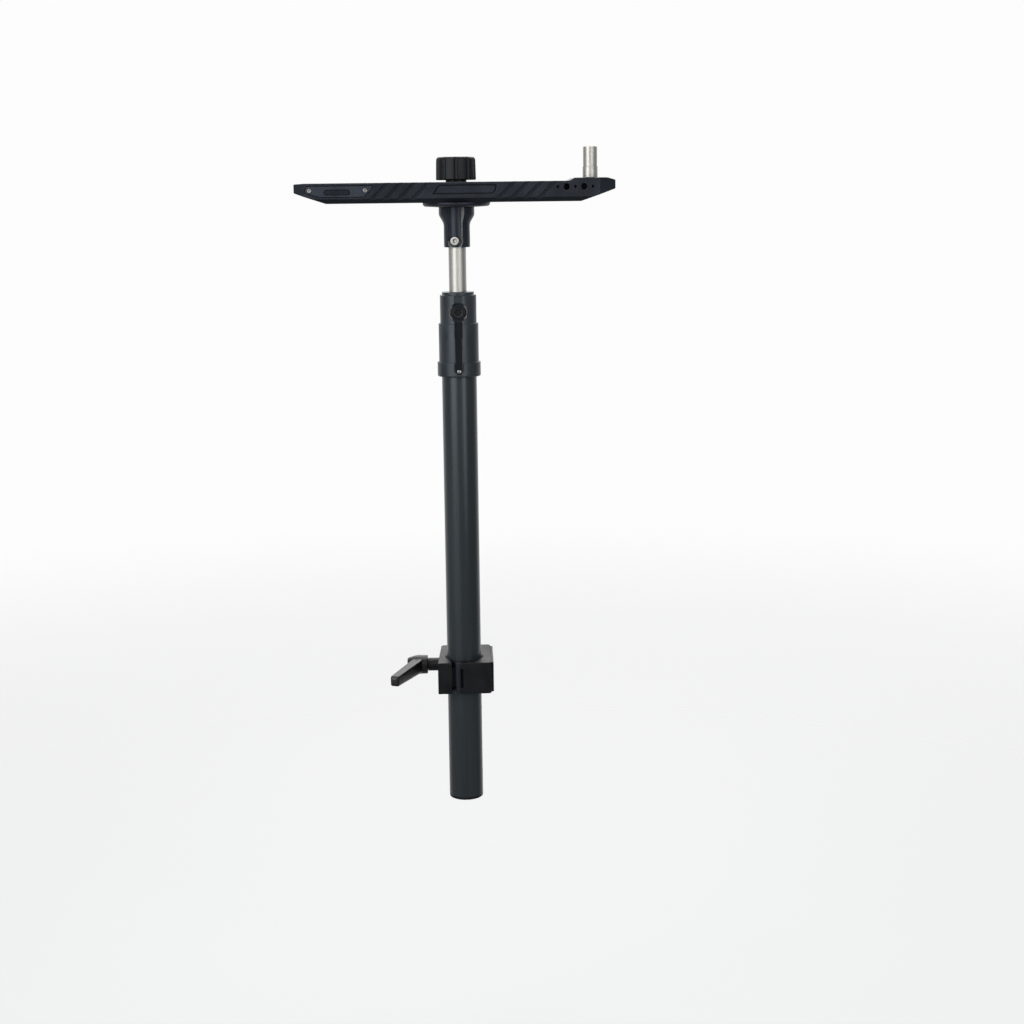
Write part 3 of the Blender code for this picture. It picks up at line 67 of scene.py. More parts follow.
# %% [markdown]
# ## Measures
# All lengths are in metres. The bright pin is a standard 5/8 inch spigot, which gives the scale of
# everything else. Places come from the boxes of the engineering nodes, so nothing has to be fitted.

# %% Measures
MM = 0.001
tube_low, tube_high = (np.array(corner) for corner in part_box("pole_tube"))
POLE = np.array([(tube_low[0] + tube_high[0]) / 2, 0, 0])
ARM_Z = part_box("docking_arm")[0][2]
print("pole axis at x =", round(POLE[0] / MM, 2), "mm; bar from z =", round(ARM_Z / MM, 2), "mm")

# %% [markdown]
# ## Surfaces from arrays
# A surface here is a grid of points P[i, j]. Row i runs along the piece and column j runs round it.
# Joining neighbours gives four-sided faces, and the whole index table can be made at once with
# numpy. Doubled points at a pole or a sharp corner are merged afterwards.

# %% Grids to meshes
SHARP = math.radians(32)


def clean(mesh):
    """Merges doubled points, drops faces without area, turns every face outwards and shades it."""
    shape = bmesh.new()
    shape.from_mesh(mesh)
    bmesh.ops.remove_doubles(shape, verts=shape.verts, dist=1e-7)
    bmesh.ops.dissolve_degenerate(shape, edges=shape.edges, dist=1e-8)
    bmesh.ops.recalc_face_normals(shape, faces=shape.faces)
    shape.to_mesh(mesh)
    shape.free()
    mesh.shade_smooth()
    mesh.set_sharp_from_angle(angle=SHARP)
    return mesh


def skin(name, grid, ring=False):
    """Cell (i, j) of the grid becomes the face (i, j), (i, j+1), (i+1, j+1), (i+1, j).

    Columns always close round. With ring the rows close too, and otherwise the first and the last
    row get a flat lid.
    """
    rows, columns = grid.shape[:2]
    index = np.arange(rows * columns).reshape(rows, columns)
    here = index if ring else index[:-1]
    above = np.roll(index, -1, axis=0) if ring else index[1:]
    cells = np.stack([here, np.roll(here, -1, 1), np.roll(above, -1, 1), above], axis=-1)
    faces = cells.reshape(-1, 4).tolist()
    if not ring:
        faces += [index[0].tolist(), index[-1].tolist()]
    mesh = bpy.data.meshes.new(name)
    mesh.from_pydata(grid.reshape(-1, 3), [], faces)
    clean(mesh)
    piece = bpy.data.objects.new(name, mesh)
    bpy.context.collection.objects.link(piece)
    return piece


# %% [markdown]
# ## Rounded corners
# No made thing has a perfectly sharp edge, and the thin light along an edge is what makes metal
# look real. Each corner of an outline is swapped for a short parabola. It is quick to compute for
# all corners at once, and the eye can't tell it from an arc.

# %% Rounded outlines
def rounded(corners, reach, steps=5, closed=True, ease=0.25 * MM):
    """P(s) = C + d (1-s)^2 a + d s^2 b for s from 0 to 1.

    C is the corner, a and b point to its neighbours and d is its reach. A further point at d + ease
    on either side keeps the shading of the flat beyond it flat. corners has shape (..., n, 2).
    """
    corners = np.asarray(corners, float)
    reach = np.broadcast_to(np.asarray(reach, float), corners.shape[-2:-1]).copy()
    if not closed:
        reach[[0, -1]] = 0
    a, b = (
        (there - corners) / (np.linalg.norm(there - corners, axis=-1, keepdims=True) + 1e-12)
        for there in (np.roll(corners, 1, axis=-2), np.roll(corners, -1, axis=-2))
    )
    s = np.linspace(0, 1, steps + 1)
    first = np.concatenate([[1.0], (1 - s) ** 2, [0.0]])
    second = np.concatenate([[0.0], s**2, [1.0]])
    ends = np.zeros_like(first)
    ends[[0, -1]] = 1
    d = reach[:, None]
    room = np.where(d > 0, ease, 0)
    first = first * d + ends * (first > 0) * room
    second = second * d + ends * (second > 0) * room
    points = corners[..., None, :] + first[..., None] * a[..., None, :] + second[..., None] * b[..., None, :]
    return points.reshape(*corners.shape[:-2], -1, 2)


def arc(centre, radius, start, end, count):
    """(x + r cos t, y + r sin t) for t from start to end."""
    t = np.linspace(start, end, count)
    return np.array(centre) + radius * np.stack([np.cos(t), np.sin(t)], axis=-1)


# %% [markdown]
# ## Turned and sawn pieces
# Most of the stand comes off a lathe, so a profile turned about an axis makes it. The clamp and
# the plates are sawn and milled, so an outline raised to a height makes them. The edge of such a
# slab is rounded by drawing the outline in a little at the top and the bottom.

# %% Lathe and slab
AXES = {
    "up": Matrix.Identity(3),
    "front": Matrix.Rotation(math.radians(90), 3, "X"),
    "rear": Matrix.Rotation(math.radians(-90), 3, "X"),
    "left": Matrix.Rotation(math.radians(-90), 3, "Y"),
    "right": Matrix.Rotation(math.radians(90), 3, "Y"),
}


def placed(piece, at=(0, 0, 0), axis="up"):
    """Moves the points of the mesh, so that the object itself stays at the origin, unturned."""
    turn = AXES[axis] if isinstance(axis, str) else axis
    piece.data.transform(Matrix.Translation(Vector(at)) @ turn.to_4x4())
    return piece


def turned(name, profile, reach=0.0, around=96, ring=False, steps=5):
    """P(i, j) = (r_i cos t_j, r_i sin t_j, z_i), from a profile of (r, z) corners in millimetres."""
    line = rounded(np.array(profile) * MM, np.array(reach) * MM, steps, closed=ring)
    t = np.linspace(0, math.tau, around, endpoint=False)
    r, z = line[:, :1], line[:, 1:]
    grid = np.stack([r * np.cos(t), r * np.sin(t), z + 0 * t], axis=-1)
    return skin(name, grid, ring)


def pipe(name, inner, outer, low, high, reach=0.2, around=96):
    """A wall between two radii and two heights in millimetres, turned as a closed ring."""
    wall = [(inner, low), (outer, low), (outer, high), (inner, high)]
    return turned(name, wall, reach, around, ring=True)


def drawn_in(outline, depth):
    """Moves each point of an anticlockwise outline inwards by depth, measured square to its sides.

    P' = P + d (m + n) / (1 + m.n), with m and n the inward normals of the two sides at P.
    """
    side = np.roll(outline, -1, 0) - outline
    side /= np.linalg.norm(side, axis=1, keepdims=True) + 1e-12
    normal = np.stack([-side[:, 1], side[:, 0]], axis=-1)
    before = np.roll(normal, 1, 0)
    share = np.maximum(1 + (normal * before).sum(1, keepdims=True), 0.3)
    return outline + depth * (normal + before) / share


def slab(name, outline, low, high, edge=0.4 * MM, steps=4):
    """P(i, j) = (outline_j drawn in by e (1 - cos u_i), z_i), with z_i on a quarter round at both ends."""
    area = np.cross(outline, np.roll(outline, -1, 0)).sum()
    outline = outline if area > 0 else outline[::-1]
    keep = np.linalg.norm(np.roll(outline, -1, 0) - outline, axis=1) > 1e-7
    outline = outline[keep]
    if edge == 0:
        rows = [(0, low), (0, high)]
    else:
        u = np.linspace(0, math.pi / 2, steps + 1)
        inward, rise = edge * (1 - np.sin(u)), edge * (1 - np.cos(u))
        rows = [*zip(inward, low + rise), *zip(inward[::-1], high - rise[::-1])]
    grid = np.stack([np.column_stack([drawn_in(outline, d), np.full(len(outline), z)]) for d, z in rows])
    return skin(name, grid)


# %% [markdown]
# ## Milling
# Holes, slots and pockets are cut the way a milling machine cuts them: a tool shape is taken out
# of the blank. The result is stored as a plain mesh, so no live modifier is left on the piece.

# %% Cutters
def combined(piece, operation, others):
    """Runs one exact Boolean for each further solid, stores what comes out and drops those solids."""
    for other in others:
        step = piece.modifiers.new("step", "BOOLEAN")
        step.operation = operation
        step.solver = "EXACT"
        step.object = other
    graph = bpy.context.evaluated_depsgraph_get()
    mesh = bpy.data.meshes.new_from_object(piece.evaluated_get(graph))
    piece.modifiers.clear()
    piece.data = mesh
    for other in others:
        bpy.data.objects.remove(other)
    return piece


def carved(piece, *tools):
    """Takes every tool out of the piece, and shades what is left."""
    combined(piece, "DIFFERENCE", tools)
    piece.data.shade_smooth()
    piece.data.set_sharp_from_angle(angle=SHARP)
    return piece


def rod(radius, low, high, around=64):
    """A round cutter between two heights, in millimetres."""
    return turned("tool", [(0, low), (radius, low), (radius, high), (0, high)], 0, around)


def thread_line(radius, depth, low, high, turns, cut_first=0):
    """2 n + 1 corners from one height to the other, at R and R - h by turns: the profile of n threads."""
    i = np.arange(2 * turns + 1)
    return np.column_stack([radius - depth * ((i + cut_first) % 2), np.linspace(low, high, 2 * turns + 1)])


def front_tool(outline, near, far):
    """An outline of (x, z) points stretched from one y to another."""
    outline = np.asarray(outline)
    rows = [np.column_stack([outline[:, 0], np.full(len(outline), y), outline[:, 1]]) for y in (near, far)]
    return skin("tool", np.stack(rows))


def threaded_tool(radius, depth, pitch, ring=0.25):
    """A drill with rings one pitch apart and a wider mouth, which leaves a tapped wall."""
    turns = int(depth / pitch)
    wall = thread_line(radius, ring, 0, -turns * pitch, turns)
    mouth = radius + 0.3
    profile = np.vstack([[[0, 2], [mouth, 2], [mouth, 0.2]], wall, [[0, wall[-1, 1] - 0.8]]])
    return turned("tool", profile, 0, around=40)


# %% [markdown]
# ## Finishes
# Black anodising, powder coat and black oxide are nearly the same colour. What tells them apart is
# how rough they are, the size of their grain, and how their edges wear. One recipe serves all: a
# wide noise varies the colour and the gloss, a fine noise gives the grain as bump, and the Bevel
# node finds the edges, which it rounds and paints a little brighter, partly as wear and partly as a
# painted highlight along the edge. All of it reads Object coordinates, so the pattern stays on a piece when
# the piece moves.

# %% One recipe for metal and plastic
NOISE_LOW, NOISE_HIGH = 0.3, 0.7


def fed(tree, node, inputs):
    """Gives each named input of the node its value, or links the output that feeds it."""
    for name, value in inputs.items():
        if isinstance(value, bpy.types.NodeSocket):
            tree.links.new(value, node.inputs[name])
        else:
            node.inputs[name].default_value = value
    return node


def added(tree, kind, inputs=None, **settings):
    """A new shader node. Its settings come first, because they decide which inputs it has."""
    node = tree.nodes.new("ShaderNode" + kind)
    for name, value in settings.items():
        setattr(node, name, value)
    return fed(tree, node, inputs or {})


def finish(
    name, color, roughness, metallic=0.0, grain=1200, grain_height=0.02, stretch=(1, 1, 1), cloud=45,
    drawn=(1, 1, 1), vary=0.25, gloss_vary=0.08, wear_and_highlight_colour=None, wear_and_highlight=1.0, edge=0.35, specular=0.35,
    sheen=(1, 1, 1),
):
    """Colour times (1 + vary n), roughness plus gloss_vary n, bump from a finer noise, and edges painted
    brighter, as wear and as a painted highlight.

    n goes from -1 to 1 with a noise of the scale cloud. drawn and stretch multiply the coordinates of
    n and of the grain, so a small number pulls the pattern out along that axis. The grain's height and
    the edge's radius are in millimetres. sheen tints the reflection.
    """
    made = bpy.data.materials.new(name)
    made.use_nodes = True
    tree = made.node_tree
    place = added(tree, "TexCoord").outputs["Object"]

    pulled = added(tree, "Mapping", {"Vector": place, "Scale": drawn})
    wide = added(tree, "TexNoise", {"Vector": pulled.outputs["Vector"], "Scale": cloud, "Detail": 6})
    wide = wide.outputs["Fac"]
    shade = added(tree, "ValToRGB", {"Fac": wide})
    for stop, at, share in zip(shade.color_ramp.elements, (NOISE_LOW, NOISE_HIGH), (1 - vary, 1 + vary)):
        stop.position = at
        stop.color = (*(c * share for c in color), 1)
    gloss = added(tree, "MapRange", {
        "Value": wide, "From Min": NOISE_LOW, "From Max": NOISE_HIGH,
        "To Min": roughness - gloss_vary, "To Max": roughness + gloss_vary,
    })

    pulled = added(tree, "Mapping", {"Vector": place, "Scale": stretch})
    fine = added(tree, "TexNoise", {"Vector": pulled.outputs["Vector"], "Scale": grain, "Detail": 3})
    soft = added(tree, "Bevel", {"Radius": edge * MM}, samples=4)
    bump = added(tree, "Bump", {
        "Height": fine.outputs["Fac"], "Normal": soft.outputs["Normal"],
        "Strength": 0.6, "Distance": grain_height * MM,
    })

    flat = added(tree, "NewGeometry")
    bend = added(tree, "VectorMath", {0: soft.outputs["Normal"], 1: flat.outputs["Normal"]},
                 operation="DOT_PRODUCT")
    # Edges are painted brighter in patches: partly wear, partly a painted highlight along the edge.
    edge_wear_and_highlight = added(tree, "MapRange", {
        "Value": bend.outputs["Value"], "From Min": 0.99, "From Max": 0.90, "To Max": wear_and_highlight,
    })
    patchy = added(tree, "Math", {0: edge_wear_and_highlight.outputs["Result"], 1: wide}, operation="MULTIPLY")
    wear_and_highlight_tone = wear_and_highlight_colour or tuple(min(1, 4 * c) for c in color)
    mix = added(tree, "Mix", {
        "Factor": patchy.outputs["Value"], "A": shade.outputs["Color"], "B": (*wear_and_highlight_tone, 1),
    }, data_type="RGBA")
    fed(tree, tree.nodes["Principled BSDF"], {
        "Metallic": metallic, "Specular IOR Level": specular, "Specular Tint": (*sheen, 1),
        "Base Color": mix.outputs["Result"], "Roughness": gloss.outputs["Result"],
        "Normal": bump.outputs["Normal"],
    })
    return made


# %% [markdown]
# ## One finish for each kind of surface
# The bar is anodised with a faint blue cast, the head and the tube are painted, the clamp is powder
# coated and rough, and the handle and the knob are moulded. On drawn steel the pattern is pulled
# out along the axis. Colours are linear, so black paint lies between 0.005 and 0.03.
# Some faces of a piece get painted light or shade: the floor of a groove or a pocket is painted
# darker as shade, and a milled wall or a rim is painted lighter as a highlight. The plate's slot
# keeps a dark colour of its own. A rule that looks at the place and the direction of each face
# picks them, and they get a slot of their own.

# %% The finishes of this stand
COOL = (0.80, 0.90, 1.0)
bar_black = finish(
    "bar_black", (0.0115, 0.0140, 0.0195), 0.40, grain=1500, grain_height=0.012, edge=0.6,
    wear_and_highlight_colour=(0.06, 0.07, 0.09), sheen=COOL,
)
plate_black = finish(
    "plate_black", (0.032, 0.038, 0.050), 0.36, grain=1500, grain_height=0.012, edge=0.4,
    wear_and_highlight_colour=(0.12, 0.14, 0.17), sheen=COOL,
)
cast_black = finish(
    "cast_black", (0.0135, 0.0165, 0.0225), 0.33, grain=900, grain_height=0.015, edge=0.5,
    wear_and_highlight_colour=(0.06, 0.07, 0.08), specular=0.30, sheen=COOL,
)
head_black = finish(
    "head_black", (0.026, 0.031, 0.036), 0.36, grain=800, edge=0.6,
    wear_and_highlight_colour=(0.10, 0.11, 0.12), wear_and_highlight=0.7, specular=0.45, sheen=COOL,
)
# Milder painted shade for the bar's grooves and the bevels under it; also the dark colour of the island in
# the plate's slot.
soft_shade_and_slot_black = finish("soft_shade_and_slot_black", (0.0075, 0.0095, 0.0135), 0.48, specular=0.25, sheen=COOL)
# Painted shade for the floors of the head's channel, the bar's line and pocket and the clamp's finger; also
# the dark colour of the plate's slot.
deep_shade_and_slot_black = finish("deep_shade_and_slot_black", (0.006, 0.007, 0.009), 0.62, grain=900, specular=0.15, wear_and_highlight=0.3)
# A bright metal colour, painted on as a highlight.
painted_highlight_metal = finish(
    "painted_highlight_metal", (0.36, 0.36, 0.35), 0.42, 0.5, grain=1800, grain_height=0.01, vary=0.3,
)
clamp_black = finish(
    "clamp_black", (0.0046, 0.0052, 0.0062), 0.44, grain=800, grain_height=0.07, vary=0.5,
    specular=0.26, edge=0.5, wear_and_highlight_colour=(0.05, 0.05, 0.052),
)
tube_black = finish(
    "tube_black", (0.024, 0.029, 0.032), 0.27, grain=900, grain_height=0.006, stretch=(1, 1, 0.02),
    cloud=60, drawn=(1, 1, 0.04), vary=0.3, gloss_vary=0.05, specular=0.5, sheen=COOL,
)
turned_steel = finish(
    "turned_steel", (0.50, 0.49, 0.455), 0.46, 1.0, grain=1800, grain_height=0.003,
    stretch=(1, 1, 0.01), cloud=420, drawn=(1, 1, 0.008), vary=0.12, gloss_vary=0.05, wear_and_highlight=0.2,
    wear_and_highlight_colour=(0.8, 0.79, 0.76), specular=0.5,
)
screw_steel = finish(
    "screw_steel", (0.34, 0.335, 0.32), 0.36, 1.0, vary=0.15, wear_and_highlight=0.2, wear_and_highlight_colour=(0.8, 0.8, 0.78),
    specular=0.5,
)
oxide_black = finish(
    "oxide_black", (0.008, 0.008, 0.009), 0.34, grain=1800, grain_height=0.01, specular=0.25,
)
lever_black = finish(
    "lever_black", (0.008, 0.008, 0.009), 0.36, grain=900, grain_height=0.07, specular=0.5,
)
neck_black = finish(
    "neck_black", (0.006, 0.006, 0.007), 0.50, grain=420, grain_height=0.5, vary=0.6,
)
knob_black = finish(
    "knob_black", (0.0055, 0.0063, 0.0078), 0.44, grain=1500, grain_height=0.03, wear_and_highlight=0.3,
    specular=0.22,
)
nylon_black = finish("nylon_black", (0.006, 0.006, 0.007), 0.60, specular=0.2)
brass = finish("brass", (0.60, 0.45, 0.20), 0.30, 1.0, vary=0.1, wear_and_highlight=0.1, specular=0.5)
spring_wire = finish("spring_wire", (0.45, 0.45, 0.44), 0.30, 1.0, vary=0.1, wear_and_highlight=0.0, specular=0.5)
print(len(bpy.data.materials), "finishes")


# %% Faces of another finish, and the ride
def painted(piece, material, chosen):
    """Gives a further finish to the faces that chosen(centres in mm, normals) picks."""
    mesh = piece.data
    count = len(mesh.polygons)
    centres, normals, slots = np.empty(count * 3), np.empty(count * 3), np.empty(count, np.int32)
    mesh.polygons.foreach_get("center", centres)
    mesh.polygons.foreach_get("normal", normals)
    mesh.polygons.foreach_get("material_index", slots)
    if not len(mesh.materials):
        mesh.materials.append(None)
    mesh.materials.append(material)
    picked = chosen(centres.reshape(-1, 3) / MM, normals.reshape(-1, 3))
    slots[picked] = len(mesh.materials) - 1
    mesh.polygons.foreach_set("material_index", slots)
    print(f"{piece.name}: {picked.sum()} faces in {material.name}")
    return piece


def stands_for(piece, node, material):
    """Gives the piece its finish, lets it ride where its node rides, and hides that node."""
    if len(piece.data.materials):
        piece.data.materials[0] = material
    else:
        piece.data.materials.append(material)
    even = piece.modifiers.new("even_shading", "WEIGHTED_NORMAL")
    even.keep_sharp = True
    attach(piece, body_of_node[node])
    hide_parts(node)
    low, high = (np.array(corner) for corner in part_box(node))
    points = np.array([v.co for v in piece.data.vertices])
    off = max(np.abs(points.min(0) - low).max(), np.abs(points.max(0) - high).max()) / MM
    print(f"{piece.name}: {len(piece.data.polygons)} faces, box within {off:.2f} mm of {node}")
    return piece


# %% [markdown]
# ## The pole tube
# A drawn tube with a 2 mm wall. Its profile is a closed ring, so turning it gives outer wall, inner
# wall and both rims at once. A plug with a rounded foot closes the lower end.

# %% Tube and plug
TUBE_R, TUBE_WALL, PLUG_LIP = 16.0, 2.0, 2.3
low, high = tube_low[2] / MM, tube_high[2] / MM
tube = placed(pipe("tube_shell", TUBE_R - TUBE_WALL, TUBE_R, low, high, 0.35, 160), POLE)
stands_for(tube, "pole_tube", tube_black)

foot = low - PLUG_LIP
plug = [
    (0, foot + 0.6), (9, foot + 0.3), (15.9, foot), (15.9, foot + 2), (13.6, foot + 2),
    (13.6, foot + 17.9), (11.8, foot + 18), (11.8, foot + 8), (0, foot + 8),
]
plug_reach = [0, 1, 1.2, 0.1, 0.2, 0.5, 0.3, 0.8, 0]
stands_for(placed(turned("plug_cap", plug, plug_reach), POLE), "tube_plug", knob_black)

# %% [markdown]
# ## The pole head
# A stepped casting, bored for the tube below and the pin above. Down its front runs a keyhole: a
# round seat for the grip screw, and a shallow channel that narrows to a small pin at its foot. The
# channel could be drawn on with a texture, but a cut one keeps its shadow from every side. Its
# floor below the screw is painted darker as shade, its right wall and the cheeks of the seat are
# painted lighter as a highlight, and a thin arc of the seat's rim gets a brighter painted highlight in a
# metal colour.

# %% Head
head_low, head_high = (corner[2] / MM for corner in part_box("pole_head"))
ring_top, sleeve_top, cap_foot = head_low + 13.2, head_low + 48.4, head_low + 74.2
RING_R, SLEEVE_R, CAP_R, LIP_R = 19.8, 18.2, 16.6, 14.6
TUBE_BORE, PIN_BORE = 16.3, 8.25
tube_stop = tube_high[2] / MM + 0.3
head_profile = [
    (TUBE_BORE, head_low), (RING_R, head_low), (RING_R, ring_top), (SLEEVE_R, ring_top),
    (SLEEVE_R, sleeve_top), (CAP_R, sleeve_top), (CAP_R, cap_foot), (LIP_R, cap_foot),
    (LIP_R, head_high), (PIN_BORE, head_high), (PIN_BORE, tube_stop), (TUBE_BORE, tube_stop),
]
head_reach = [0.4, 1.3, 0.6, 0.15, 0.5, 0.15, 0.9, 0.15, 0.7, 0.5, 0.2, 0.2]
head = turned("head_casting", head_profile, head_reach, around=144, ring=True)

SCREW_Z = head_high - 18.1
STEP_Z, FOOT_Z = sleeve_top - 12.7, head_low + 4.9
CAP_FLOOR, SLEEVE_FLOOR, CHANNEL = 15.5, 17.1, 3.4


def channel(half, low, high, floor, corner, slope):
    """A rounded box in front of the casting, whose side walls open out by slope per mm of height."""
    box = np.array([(-half, low), (half, low), (half, high), (-half, high)])
    box = rounded(box, np.array(corner), ease=0)
    rows = []
    for out in (floor + 4, floor):
        wide = box * [1 + slope * (out - floor) / half, 1]
        rows.append(np.column_stack([wide[:, 0], np.full(len(box), -out), wide[:, 1]]) * MM)
    return skin("tool", np.stack(rows))


SEAT_R, HIGHLIGHT_ARC_R, SEAT_RIM = 6.4, 7.2, 8.65
seat = [
    (0, 4), (4.3, 4), (4.3, 13.2), (SEAT_R, 13.2), (HIGHLIGHT_ARC_R, 13.91),
    (SEAT_RIM, 15.2), (SEAT_RIM, 30), (0, 30),
]
carved(
    head,
    channel(CHANNEL, sleeve_top - 1, cap_foot - 0.6, CAP_FLOOR, (0, 0, 0.4, 0.4), 0.15),
    channel(CHANNEL, STEP_Z, sleeve_top + 0.5, SLEEVE_FLOOR, (0.6, 0.6, 0, 0), 0.6),
    channel(2.75, FOOT_Z - 0.6, STEP_Z + 0.5, SLEEVE_FLOOR, (1.6, 1.6, 0, 0), 0.8),
    placed(turned("tool", seat, [0, 0, 0.2, 0.1, 0, 0.2, 0, 0]), (0, 0, SCREW_Z * MM), "front"),
    placed(rod(2.45, 5, 30, 32), (0, 0, FOOT_Z * MM), "front"),
)


# %% The head's painted shade and highlights
def in_channel(c, n):
    """The flat floor of the channel, below the screw, painted darker as shade."""
    off_floor = np.minimum(np.abs(c[:, 1] + CAP_FLOOR), np.abs(c[:, 1] + SLEEVE_FLOOR))
    return (off_floor < 0.02) & (n[:, 1] < -0.99) & (np.abs(c[:, 0]) < CHANNEL) & (c[:, 2] < SCREW_Z)


def on_seat(cheek, inner=SEAT_R - 0.1):
    """Both cheeks of the cone round the screw: up to this slope, and outside this radius."""
    def chosen(c, n):
        rise = c[:, 2] - SCREW_Z
        off = np.hypot(c[:, 0], rise)
        facing = n[:, 0] * c[:, 0] + n[:, 2] * rise < -0.3 * off
        cone = (off > inner) & (off < SEAT_RIM + 0.05) & (c[:, 1] < -13) & facing
        return cone & (np.abs(rise) < cheek * np.abs(c[:, 0]))
    return chosen


def on_channel_wall(c, n):
    """The right-hand wall of the channel, below the screw, painted lighter as a highlight."""
    wall = (n[:, 0] < -0.6) & (n[:, 1] < -0.1) & (c[:, 0] > 2.6) & (c[:, 0] < 4.4) & (c[:, 1] < -15)
    return wall & (c[:, 2] < SCREW_Z - 9)


# Painted shade on the channel's floor. Painted highlights on the seat's cheeks, on an arc of its rim in a
# bright metal colour, and on the channel's right wall.
painted(head, deep_shade_and_slot_black, in_channel)
painted(head, plate_black, on_seat(2.0))
painted(head, painted_highlight_metal, on_seat(1.1, HIGHLIGHT_ARC_R + 0.02))
painted(head, plate_black, on_channel_wall)
stands_for(placed(head, POLE), "pole_head", head_black)

# %% [markdown]
# ## Screws
# A socket screw is a turned head and shank with a six-sided pit in it. The pit starts with a small
# cone, as a real one does, and the edge of the head is rounded. A true helix would cost thousands
# of faces that nobody sees, so the thread is a row of rings.

# %% Screws
def socket_screw(name, head_r, head_h, shank_r, length, across, pit, pitch=0.8):
    """A shank below z = 0 and a head above it; the pit is across / cos 30 wide from corner to corner."""
    turns = max(2, int(length / pitch))
    thread = thread_line(shank_r, 0.2, -length, -0.4, turns)
    body = np.vstack([[[0, -length]], thread, [[head_r, 0], [head_r, head_h], [0, head_h]]])
    reach = np.zeros(len(body))
    reach[-3], reach[-2] = 0.15, min(0.5, head_h / 4)
    corner = across / 2 / math.cos(math.pi / 6)
    cone = [(0, head_h - 0.9 * corner), (corner * 1.12, head_h + 0.02), (0, head_h + 0.5)]
    return carved(
        turned(name, body, reach, around=64),
        rod(corner, head_h - pit, head_h + 1, 6),
        turned("tool", cone, 0, 48),
    )


def flat_screw(name, head_r, head_h, shank_r, length, across):
    """The same with a sunk cone for a head, whose top is z = 0."""
    body = [(0, -length), (shank_r, -length), (shank_r, -head_h), (head_r, -0.15), (head_r, 0), (0, 0)]
    made = turned(name, body, [0, 0.3, 0.1, 0.05, 0.05, 0], around=64)
    return carved(made, rod(across / 2 / math.cos(math.pi / 6), -head_h * 0.6, 1, 6))


def on_pit_cone(c, n):
    """The small cone at the mouth of the grip screw's pit, painted lighter as a highlight."""
    off = np.hypot(c[:, 0], c[:, 1])
    return (off > 3.3) & (off < 4.0) & (n[:, 2] > 0.3) & (n[:, 2] < 0.9)


grip = socket_screw("grip_screw", 6.0, 4.6, 4.0, 5.2, 6.0, 2.6, 1.25)
# A painted highlight: the pit's cone gets the lighter paint of the head.
painted(grip, head_black, on_pit_cone)
stands_for(placed(grip, POLE + [0, -13.5 * MM, SCREW_Z * MM], "front"), "head_screw", oxide_black)

pin = [(0, 14.3), (2.3, 14.3), (2.3, 16.8), (1.3, 17.35), (0, 17.35)]
pin = turned("tube_pin", pin, [0, 0.1, 0.4, 0.5, 0], 48)
stands_for(placed(pin, POLE + [0, 0, FOOT_Z * MM], "front"), "head_pin", screw_steel)

# %% [markdown]
# ## The bright pin
# A plain drawn bar of stainless steel. Only its length between head and socket shows. Its fine
# marks run along it, because the noise is read at a hundredth of its scale along the axis. The
# number of faces round the bar is high, so that its reflections don't break at the edges.

# %% Spigot
PIN_R = 7.95
pin_low, pin_high = (corner[2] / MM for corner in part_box("spigot"))
bar = [(0, pin_low), (PIN_R, pin_low), (PIN_R, pin_high), (0, pin_high)]
bright_pin = turned("bright_pin", bar, [0, 0.8, 0.8, 0], around=160)
stands_for(placed(bright_pin, POLE), "spigot", turned_steel)

# %% [markdown]
# ## The socket under the bar
# A casting with a straight barrel, a hollow flare and a flange. A recess with a round end holds its
# screw. The recess has sloping walls, so where the flare grows outwards its edges spread, and
# that gives the curved line that runs up to the flange. Those walls are painted lighter as a
# highlight, and on the right and round the foot they get a brighter painted highlight in a metal colour.

# %% Socket
recv_low, recv_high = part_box("receiver")[0][2] / MM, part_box("swivel_disc")[0][2] / MM
BARREL_R, FLANGE_R, STUD_BORE = 11.85, 16.15, 5.3
flare_foot, flange_foot = recv_low + 21.3, recv_low + 28.7
pin_stop, stud_floor = recv_low + 24, recv_high - 8.8
recv_profile = [
    (0, pin_stop), (PIN_BORE, pin_stop), (PIN_BORE, recv_low), (BARREL_R, recv_low),
    (BARREL_R, flare_foot), (FLANGE_R, flange_foot),
    (FLANGE_R, recv_high), (STUD_BORE, recv_high), (STUD_BORE, stud_floor), (0, stud_floor),
]
recv_reach = [0, 0.3, 0.4, 0.8, 2.6, 1.6, 0.5, 0.3, 0.3, 0]
socket = turned("pin_socket", recv_profile, recv_reach, around=144)

recess_axis = Matrix.Rotation(math.radians(-10), 3, "Z") @ AXES["front"]
LOCK_Z = recv_low + 5.8
RECESS_HALF, RECESS_FLOOR, RECESS_TOP = 6.7, 9.35, 31


def recess_half(out):
    """Half the recess's width at this distance out from the pole's axis: w + 0.65 (out - 9.6)."""
    return RECESS_HALF + 0.65 * (np.minimum(out, 16.3) - 9.6)


round_end = arc((0, 0), 1, math.pi, math.tau, 33)
outline = np.vstack([round_end, [[1, 1], [-1, 1]]])
rows = []
for out in (4.0, 9.8, 11.9, 16.3, 24.0):
    ring = outline * recess_half(out)
    ring[len(round_end):, 1] = RECESS_TOP
    rows.append(np.column_stack([ring, np.full(len(ring), out)]) * MM)
recess = placed(skin("tool", np.stack(rows)), (0, 0, LOCK_Z * MM), recess_axis)
carved(recess, rod(RECESS_FLOOR, recv_low - 9, recv_high + 9, 144))
sunk_hole = turned("tool", [(0, 5), (2.8, 5), (2.8, 8.6), (4.4, 8.6), (4.4, 14), (0, 14)], 0, 64)
carved(socket, recess, placed(sunk_hole, (0, 0, LOCK_Z * MM), recess_axis))


